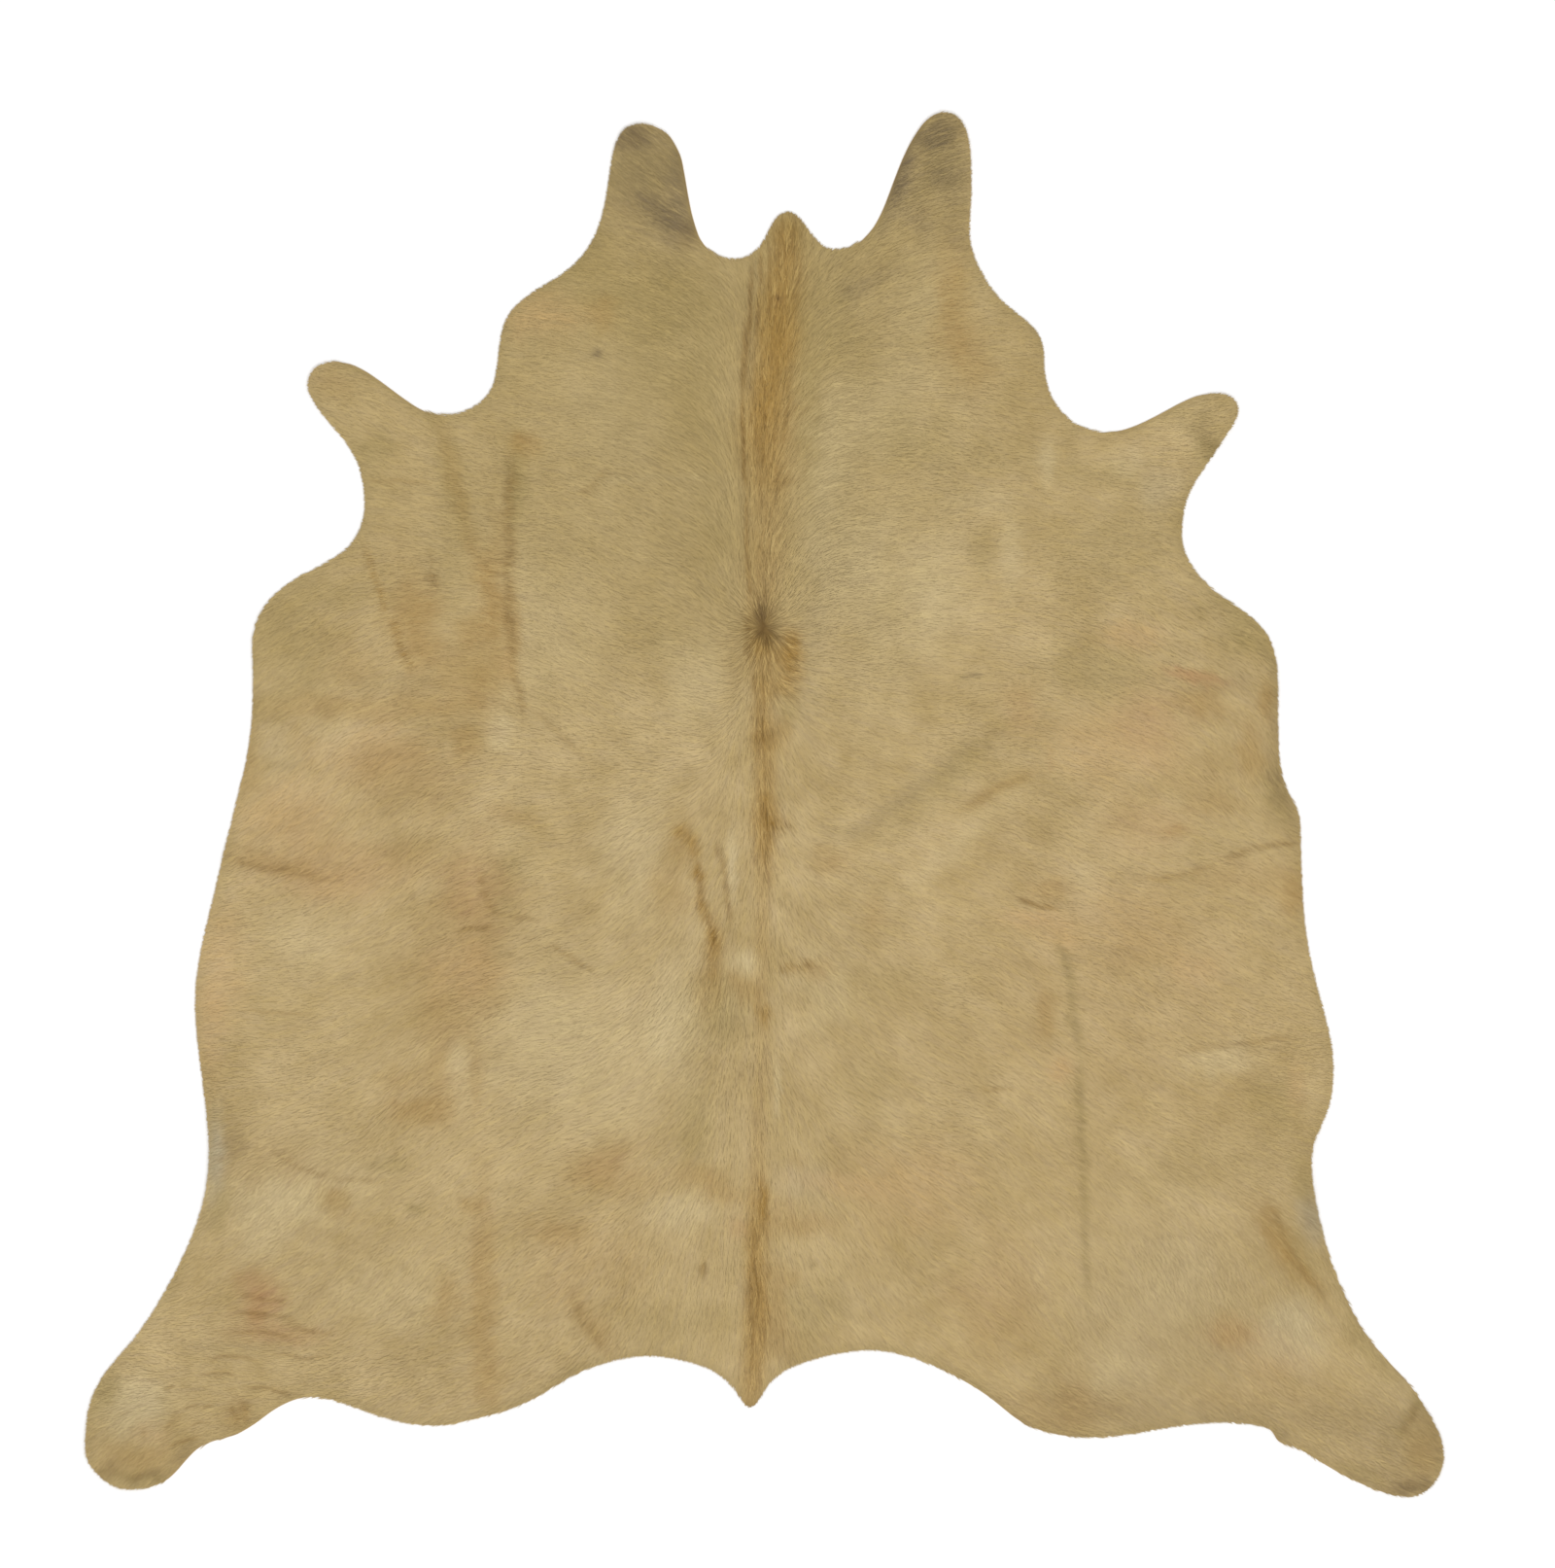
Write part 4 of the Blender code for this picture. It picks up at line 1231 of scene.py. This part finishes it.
class Tree:
    """A node tree being filled: short calls that add a node, set it and link it."""

    def __init__(self, tree):
        self.tree = tree

    def node(self, kind, values=(), **settings):
        """A new node with its settings, and its inputs set or linked."""
        node = self.tree.nodes.new(kind)
        for name, value in settings.items():
            setattr(node, name, value)
        for socket, value in dict(values).items():
            self.feed(node, socket, value)
        return node

    def feed(self, node, socket, value):
        """Sets an input to a value, or links it if the value is an output."""
        target = node.inputs[socket]
        if isinstance(value, bpy.types.NodeSocket):
            self.tree.links.new(value, target)
        else:
            target.default_value = value

    def mix(self, share, a, b, blend="MIX"):
        """Colour a with share of colour b over it."""
        node = self.node("ShaderNodeMix", data_type="RGBA", blend_type=blend)
        for index, value in ((0, share), (6, a), (7, b)):
            self.feed(node, index, value)
        return node.outputs[2]

    def math(self, operation, *values):
        """The result of a sum on values or outputs."""
        node = self.node("ShaderNodeMath", operation=operation)
        for index, value in enumerate(values):
            self.feed(node, index, value)
        return node.outputs[0]

    def ranged(self, value, low, high):
        """A value from 0 to 1 spread from low to high."""
        node = self.node("ShaderNodeMapRange", {"Value": value, "To Min": low, "To Max": high})
        return node.outputs[0]

    def noise(self, place, scale, detail=2.0, roughness=0.5):
        """Soft noise from 0 to 1 at a place."""
        settings = {"Vector": place, "Scale": scale, "Detail": detail, "Roughness": roughness}
        return self.node("ShaderNodeTexNoise", settings).outputs["Fac"]


def blade_tree():
    """Nodes that grow a flat blade of two faces on each root point.

    The blade's four points go to the places that its root point carries: root, left and right of
    mid by side times the hair's width, and tip.
    """
    group = bpy.data.node_groups.new("Coat blades", "GeometryNodeTree")
    for label, way, kind in (
        ("Roots", "INPUT", "NodeSocketGeometry"),
        ("Hair width", "INPUT", "NodeSocketFloat"),
        ("Hair material", "INPUT", "NodeSocketMaterial"),
        ("Blades", "OUTPUT", "NodeSocketGeometry"),
    ):
        group.interface.new_socket(label, in_out=way, socket_type=kind)
    tree = Tree(group)
    given = tree.node("NodeGroupInput").outputs
    fact = {}
    for name in ("root", "mid", "tip", "side"):
        named = tree.node("GeometryNodeInputNamedAttribute", {"Name": name}, data_type="FLOAT_VECTOR")
        fact[name] = named.outputs[0]
    scaled = {0: fact["side"], "Scale": given["Hair width"]}
    side = tree.node("ShaderNodeVectorMath", scaled, operation="SCALE").outputs[0]
    left, right = (
        tree.node("ShaderNodeVectorMath", {0: fact["mid"], 1: side}, operation=way).outputs[0]
        for way in ("ADD", "SUBTRACT")
    )
    index = tree.node("GeometryNodeInputIndex").outputs[0]
    corner = tree.node("FunctionNodeIntegerMath", {0: index, 1: 4}, operation="MODULO").outputs[0]
    place = tree.node("GeometryNodeIndexSwitch", data_type="VECTOR")
    for number, value in enumerate((fact["root"], left, right, fact["tip"])):
        if number >= len(place.index_switch_items):
            place.index_switch_items.new()
        tree.feed(place, str(number), value)
    tree.feed(place, "Index", corner)
    square = tree.node("GeometryNodeMeshGrid", {"Vertices X": 2, "Vertices Y": 2}).outputs["Mesh"]
    blade = tree.node("GeometryNodeTriangulate", {"Mesh": square}, quad_method="FIXED_ALTERNATE").outputs[0]
    planted = {"Points": given["Roots"], "Instance": blade}
    blades = tree.node("GeometryNodeInstanceOnPoints", planted).outputs[0]
    blades = tree.node("GeometryNodeRealizeInstances", {"Geometry": blades}).outputs[0]
    placed = {"Geometry": blades, "Position": place.outputs[0]}
    blades = tree.node("GeometryNodeSetPosition", placed).outputs[0]
    coated = {"Geometry": blades, "Material": given["Hair material"]}
    blades = tree.node("GeometryNodeSetMaterial", coated).outputs[0]
    tree.node("NodeGroupOutput", {"Blades": blades})
    return group


def grown_blades(name, blades, tree, material):
    """A piece with one blade for each row of places, grown by the tree and made a plain mesh."""
    roots = bpy.data.meshes.new("roots")
    roots.vertices.add(len(blades["root"]))
    roots.vertices.foreach_set("co", blades["root"].astype(np.float32).ravel())
    for fact, rows in blades.items():
        add_vectors(roots, fact, rows)
    piece = bpy.data.objects.new(name, roots)
    bpy.context.scene.collection.objects.link(piece)
    modifier = piece.modifiers.new(tree.name, "NODES")
    modifier.node_group = tree
    given = {"Hair width": HAIR_WIDTH, "Hair material": material}
    for socket in tree.interface.items_tree:
        if socket.name in given:
            modifier[socket.identifier] = given[socket.name]
    graph = bpy.context.evaluated_depsgraph_get()
    mesh = bpy.data.meshes.new_from_object(
        piece.evaluated_get(graph), preserve_all_data_layers=True, depsgraph=graph
    )
    piece.modifiers.clear()
    piece.data = mesh
    bpy.data.meshes.remove(roots)
    mesh.name = name
    for fact in blades:
        mesh.attributes.remove(mesh.attributes[fact])
    mesh.shade_smooth()
    return piece


def build_coat(charts, material):
    """The hair: flat tapered blades combed over the skin, in bands from tail to neck."""
    roots = net_inside(charts["inside"], HAIR_PITCH, 2 * EDGE_INSET, 3)
    chance = np.random.RandomState(11)
    count = len(roots)
    x, y = roots.T
    x = x + chance.uniform(-ROOT_JITTER, ROOT_JITTER, count) * HAIR_PITCH
    y = y + chance.uniform(-ROOT_JITTER, ROOT_JITTER, count) * HAIR_PITCH
    turn = np.radians(chance.normal(0, COMB_SPREAD, count))
    length = coat_length(x, y, charts) * chance.uniform(*LENGTH_RANGE, count)
    east, north = arrows_at(x, y, charts["comb"], turn)
    start = charts["inside"].read(x, y)
    end = charts["inside"].read(x + east * length, y + north * length)
    over = HAIR_OVER_EDGE * chance.uniform(*OVER_EDGE_RANGE, count) - EDGE_INSET
    cut = np.where(end < -over, (start + over) / np.maximum(start - end, 1e-6), 1.0)
    length = length * np.clip(cut, SHORTEST_CUT, 1.0)
    mid_x = x + 0.5 * length * east
    mid_y = y + 0.5 * length * north
    east_on, north_on = arrows_at(mid_x, mid_y, charts["comb"], turn * HAIR_CURL)
    tip_x = mid_x + 0.5 * length * east_on
    tip_y = mid_y + 0.5 * length * north_on
    lift = chance.uniform(*HAIR_LIFT, count)
    half = 0.5 * chance.uniform(*WIDTH_RANGE, count)
    roll = np.radians(chance.normal(0, HAIR_ROLL, count))

    def over_skin(at_x, at_y, share):
        """The height at a share of the coat's depth."""
        skin = skin_height(at_x, at_y, charts)
        top = charts["high"].read(at_x, at_y) - charts["grooves"].read(at_x, at_y)
        return skin + share * np.maximum(top - skin, LEAST_COAT)

    root_z = over_skin(x, y, 0.0) - ROOT_SUNK
    mid_z = over_skin(mid_x, mid_y, MID_HEIGHT * lift)
    tip_z = over_skin(tip_x, tip_y, TIP_HEIGHT * lift)
    side = (-north * half * np.cos(roll), east * half * np.cos(roll), half * np.sin(roll))
    blades = {
        "root": np.stack([x, y, root_z], axis=1),
        "mid": np.stack([mid_x, mid_y, mid_z], axis=1),
        "tip": np.stack([tip_x, tip_y, tip_z], axis=1),
        "side": np.stack(side, axis=1),
    }
    streak = charts["streaks"].read(0.5 * (x + mid_x), 0.5 * (y + mid_y))
    tone = STREAK_IN_TONE * streak + (1 - STREAK_IN_TONE) * chance.uniform(0, 1, count)
    places = ((x, y), (mid_x, mid_y), (tip_x, tip_y))
    at_root, at_mid, at_tip = (charts["marks"].read(*place).astype(np.float32) for place in places)
    tints = np.stack([at_root, at_mid, at_mid, at_tip], axis=1)
    strand = np.stack(
        [
            np.repeat(tone[:, None], 4, axis=1),
            np.tile([0.0, MID_ALONG, MID_ALONG, 1.0], (count, 1)),
            np.repeat(streak[:, None], 4, axis=1),
        ],
        axis=2,
    )
    tree = blade_tree()
    order = np.argsort(y)
    pieces = []
    for number, band in enumerate(np.array_split(order, HAIR_BANDS)):
        in_band = {fact: rows[band] for fact, rows in blades.items()}
        piece = grown_blades(f"hide_coat_{number + 1}", in_band, tree, material)
        add_marks(piece.data, tints[band].reshape(-1, len(TINTS)), strand[band].reshape(-1, 3))
        points = np.empty(3 * len(piece.data.vertices), dtype=np.float32)
        piece.data.vertices.foreach_get("co", points)
        points = points.reshape(-1, 3)[:, :2]
        corners = np.empty(len(piece.data.loops), dtype=np.int32)
        piece.data.loops.foreach_get("vertex_index", corners)
        low, high = points.min(axis=0), points.max(axis=0)
        share = (points[corners] - low) / (high - low)
        add_map(piece.data, MAP_MARGIN + (1 - 2 * MAP_MARGIN) * share)
        pieces.append(piece)
    return pieces


def new_group(name, inputs, outputs):
    """A shader node group with named sockets: (name, socket kind, value when not linked)."""
    group = bpy.data.node_groups.new(name, "ShaderNodeTree")
    for label, kind, value in inputs:
        socket = group.interface.new_socket(label, in_out="INPUT", socket_type=kind)
        if value is not None:
            socket.default_value = value
    for label, kind in outputs:
        group.interface.new_socket(label, in_out="OUTPUT", socket_type=kind)
    tree = Tree(group)
    return tree, tree.node("NodeGroupInput"), tree.node("NodeGroupOutput")


def coat_group():
    """The coat's colour from its marks, with soft mottling and each hair's own tone."""
    vectors = ("Place", *(label for _, label in MARKS), "Strand")
    tree, given, put = new_group(
        "Coat colour",
        (
            *((label, "NodeSocketVector", None) for label in vectors),
            ("Tone swing", "NodeSocketFloat", 0.1),
            ("Spine swing", "NodeSocketFloat", 0.3),
            ("Root shade", "NodeSocketFloat", 0.9),
        ),
        (("Color", "NodeSocketColor"), ("Roughness", "NodeSocketFloat")),
    )
    place = given.outputs["Place"]
    broad = tree.noise(place, scale=5.5, detail=3.0, roughness=0.55)
    patchy = tree.noise(place, scale=21.0)
    fine = tree.noise(place, scale=95.0, roughness=0.6)
    mottle = tree.math("ADD", tree.math("MULTIPLY", broad, 0.6), tree.math("MULTIPLY", patchy, 0.4))
    mottle = tree.node("ShaderNodeMapRange", {"Value": mottle, "From Min": 0.33, "From Max": 0.67}).outputs[0]
    colour = tree.mix(mottle, linear("coat deep"), linear("coat light"))
    split = {}
    for number, (_, label) in enumerate(MARKS):
        parts = tree.node("ShaderNodeSeparateXYZ", {"Vector": given.outputs[label]})
        for index in range(3):
            split[TINTS[3 * number + index]] = parts.outputs[index]
    strand = tree.node("ShaderNodeSeparateXYZ", {"Vector": given.outputs["Strand"]})
    tone, along, streak = strand.outputs
    feather = tree.ranged(fine, 0.8, 1.1)
    lighter = tree.math("MULTIPLY", feather, tree.math("MULTIPLY_ADD", streak, *STREAK_ON_LIGHT))
    darker = tree.math("MULTIPLY", feather, tree.math("MULTIPLY_ADD", streak, *STREAK_ON_DARK))
    for tint in LAYERS:
        share = tree.math("MULTIPLY", split[tint], lighter if tint in LIGHT_TINTS else darker)
        colour = tree.mix(share, colour, linear(tint))
    wide = tree.math("MULTIPLY", split["spine"], given.outputs["Spine swing"])
    reach = tree.math("ADD", given.outputs["Tone swing"], wide)
    swing = tree.math("MULTIPLY", tree.math("SUBTRACT", tone, 0.5), reach)
    near_root = tree.math("SMOOTH_MIN", along, ROOT_SHADE_END, 0.2)
    rise = tree.math("MULTIPLY", near_root, tree.math("SUBTRACT", 1.0, given.outputs["Root shade"]))
    depth = tree.math("MULTIPLY_ADD", rise, 1 / ROOT_SHADE_END, given.outputs["Root shade"])
    value = tree.math("ADD", depth, swing)
    blue = tree.math("DIVIDE", value, tree.math("MULTIPLY_ADD", streak, *STREAK_ON_BLUE))
    shade = tree.node("ShaderNodeCombineXYZ", {"X": value, "Y": value, "Z": blue})
    colour = tree.mix(1.0, colour, shade.outputs[0], "MULTIPLY")
    tree.feed(put, "Color", colour)
    tree.feed(put, "Roughness", tree.ranged(patchy, 0.48, 0.66))
    return tree.tree


def new_material(name):
    """A node material: the material, its tree and the shader that it comes with."""
    material = bpy.data.materials.new(name)
    material.use_nodes = True
    tree = Tree(material.node_tree)
    shader = material.node_tree.nodes["Principled BSDF"]
    return material, tree, shader


def finish_surface(tree, shader, colour, roughness, gloss, bump=None):
    """Feeds the shader its colour, roughness, gloss and a bump given as (height, strength, distance)."""
    tree.feed(shader, "Base Color", colour)
    tree.feed(shader, "Roughness", roughness)
    tree.feed(shader, "Specular IOR Level", gloss)
    if bump:
        height, strength, distance = bump
        relief = tree.node("ShaderNodeBump", {"Height": height, "Strength": strength, "Distance": distance})
        tree.feed(shader, "Normal", relief.outputs["Normal"])


def fed_coat(tree, group, tone_swing, spine_swing, root_shade):
    """The coat group with the piece's own attributes linked in, and the place that it reads."""
    place = tree.node("ShaderNodeTexCoord").outputs["Object"]
    coat = tree.node("ShaderNodeGroup", node_tree=group)
    tree.feed(coat, "Place", place)
    for name, label in (*MARKS, ("strand", "Strand")):
        tree.feed(coat, label, tree.node("ShaderNodeAttribute", attribute_name=name).outputs["Vector"])
    tree.feed(coat, "Tone swing", tone_swing)
    tree.feed(coat, "Spine swing", spine_swing)
    tree.feed(coat, "Root shade", root_shade)
    return coat.outputs["Color"], coat.outputs["Roughness"], place


def make_materials():
    """Hair, skin under the hair, cut edge and suede underside."""
    group = coat_group()
    hair, tree, shader = new_material("Hide coat hair")
    colour, roughness, _ = fed_coat(tree, group, tone_swing=0.2, spine_swing=0.9, root_shade=0.95)
    finish_surface(tree, shader, colour, roughness, gloss=0.28)

    skin, tree, shader = new_material("Hide skin under the hair")
    colour, roughness, place = fed_coat(tree, group, tone_swing=0.05, spine_swing=0.0, root_shade=0.9)
    grain = tree.noise(place, scale=420.0, detail=3.0, roughness=0.6)
    finish_surface(tree, shader, colour, roughness, gloss=0.2, bump=(grain, 0.4, 0.0006))

    cut, tree, shader = new_material("Hide cut edge")
    place = tree.node("ShaderNodeTexCoord").outputs["Object"]
    fibre = tree.noise(place, scale=900.0, detail=4.0, roughness=0.65)
    blotch = tree.noise(place, scale=30.0)
    colour = tree.mix(blotch, LEATHER["cut deep"], LEATHER["cut pale"])
    colour = tree.mix(tree.ranged(fibre, 0.0, 0.5), colour, LEATHER["cut fibre"])
    finish_surface(tree, shader, colour, roughness=0.85, gloss=0.2, bump=(fibre, 0.5, 0.0004))

    suede, tree, shader = new_material("Hide suede underside")
    place = tree.node("ShaderNodeTexCoord").outputs["Object"]
    nap = tree.noise(place, scale=380.0, detail=5.0, roughness=0.7)
    cloud = tree.noise(place, scale=7.0, detail=4.0, roughness=0.6)
    veins = tree.noise(place, scale=38.0, detail=3.0)
    colour = tree.mix(cloud, LEATHER["suede deep"], LEATHER["suede pale"])
    colour = tree.mix(tree.ranged(veins, 0.0, 0.35), colour, LEATHER["suede vein"])
    colour = tree.mix(tree.ranged(nap, 0.0, 0.3), colour, LEATHER["suede nap"])
    finish_surface(tree, shader, colour, roughness=0.92, gloss=0.15, bump=(nap, 0.45, 0.0005))
    return {"hair": hair, "skin": skin, "cut": cut, "suede": suede}


def build_stage():
    """A plain pale floor, even light from all round and one large soft light overhead."""
    floor_material, tree, shader = new_material("Floor")
    finish_surface(tree, shader, (0.93, 0.93, 0.93, 1), roughness=0.9, gloss=0.1)
    corners = FLOOR_HALF * np.array([(-1, -1), (1, -1), (1, 1), (-1, 1)])
    corners = np.column_stack([corners, np.full(4, -FLOOR_DROP)])
    floor = new_piece("floor", corners, np.array([(0, 1, 2), (0, 2, 3)]), [floor_material])
    world = bpy.data.worlds.new("Soft studio")
    bpy.context.scene.world = world
    world.use_nodes = True
    background = world.node_tree.nodes["Background"]
    background.inputs["Color"].default_value = (1, 1, 1, 1)
    background.inputs["Strength"].default_value = ROUND_LIGHT
    light = bpy.data.lights.new("Overhead", "SUN")
    light.angle = math.radians(SUN_WIDTH_DEG)
    light.energy = SUN_STRENGTH
    overhead = bpy.data.objects.new("Overhead", light)
    overhead.location = SUN_PLACE
    overhead.rotation_euler = (-overhead.location).to_track_quat("-Z", "Y").to_euler()
    bpy.context.scene.collection.objects.link(overhead)
    bpy.context.scene.view_settings.view_transform = "Standard"


def add_camera():
    """The photo's camera, straight above."""
    camera = bpy.data.cameras.new("Photo camera")
    camera.sensor_width = SENSOR
    camera.lens = SENSOR * CAMERA_HEIGHT / (max(PHOTO_SIZE) * METRES_PER_PIXEL)
    camera.clip_end = 50
    eye = bpy.data.objects.new("Photo camera", camera)
    eye.location = (
        (PHOTO_SIZE[0] / 2 - RUG_CENTRE_PIXEL[0]) * METRES_PER_PIXEL,
        (RUG_CENTRE_PIXEL[1] - PHOTO_SIZE[1] / 2) * METRES_PER_PIXEL,
        CAMERA_HEIGHT,
    )
    bpy.context.scene.collection.objects.link(eye)
    bpy.context.scene.camera = eye


def main():
    """The charts, the skin and its coat, what they stand for, and the stage."""
    shape = merged_copy(NODE)
    edge = evened(lower_edge(shape), EDGE_PITCH)
    charts = {"inside": inside_chart(edge)}
    charts["low"], charts["high"] = height_charts(shape)
    charts["marks"], charts["grooves"] = mark_charts(charts["inside"])
    charts["comb"] = comb_chart()
    charts["streaks"] = streak_chart(charts["comb"])
    materials = make_materials()
    skin = build_skin(edge, charts, [materials["skin"], materials["cut"], materials["suede"]])
    coat = build_coat(charts, materials["hair"])
    for piece in (skin, *coat):
        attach(piece, "root")
    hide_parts(NODE)
    build_stage()
    add_camera()


main()
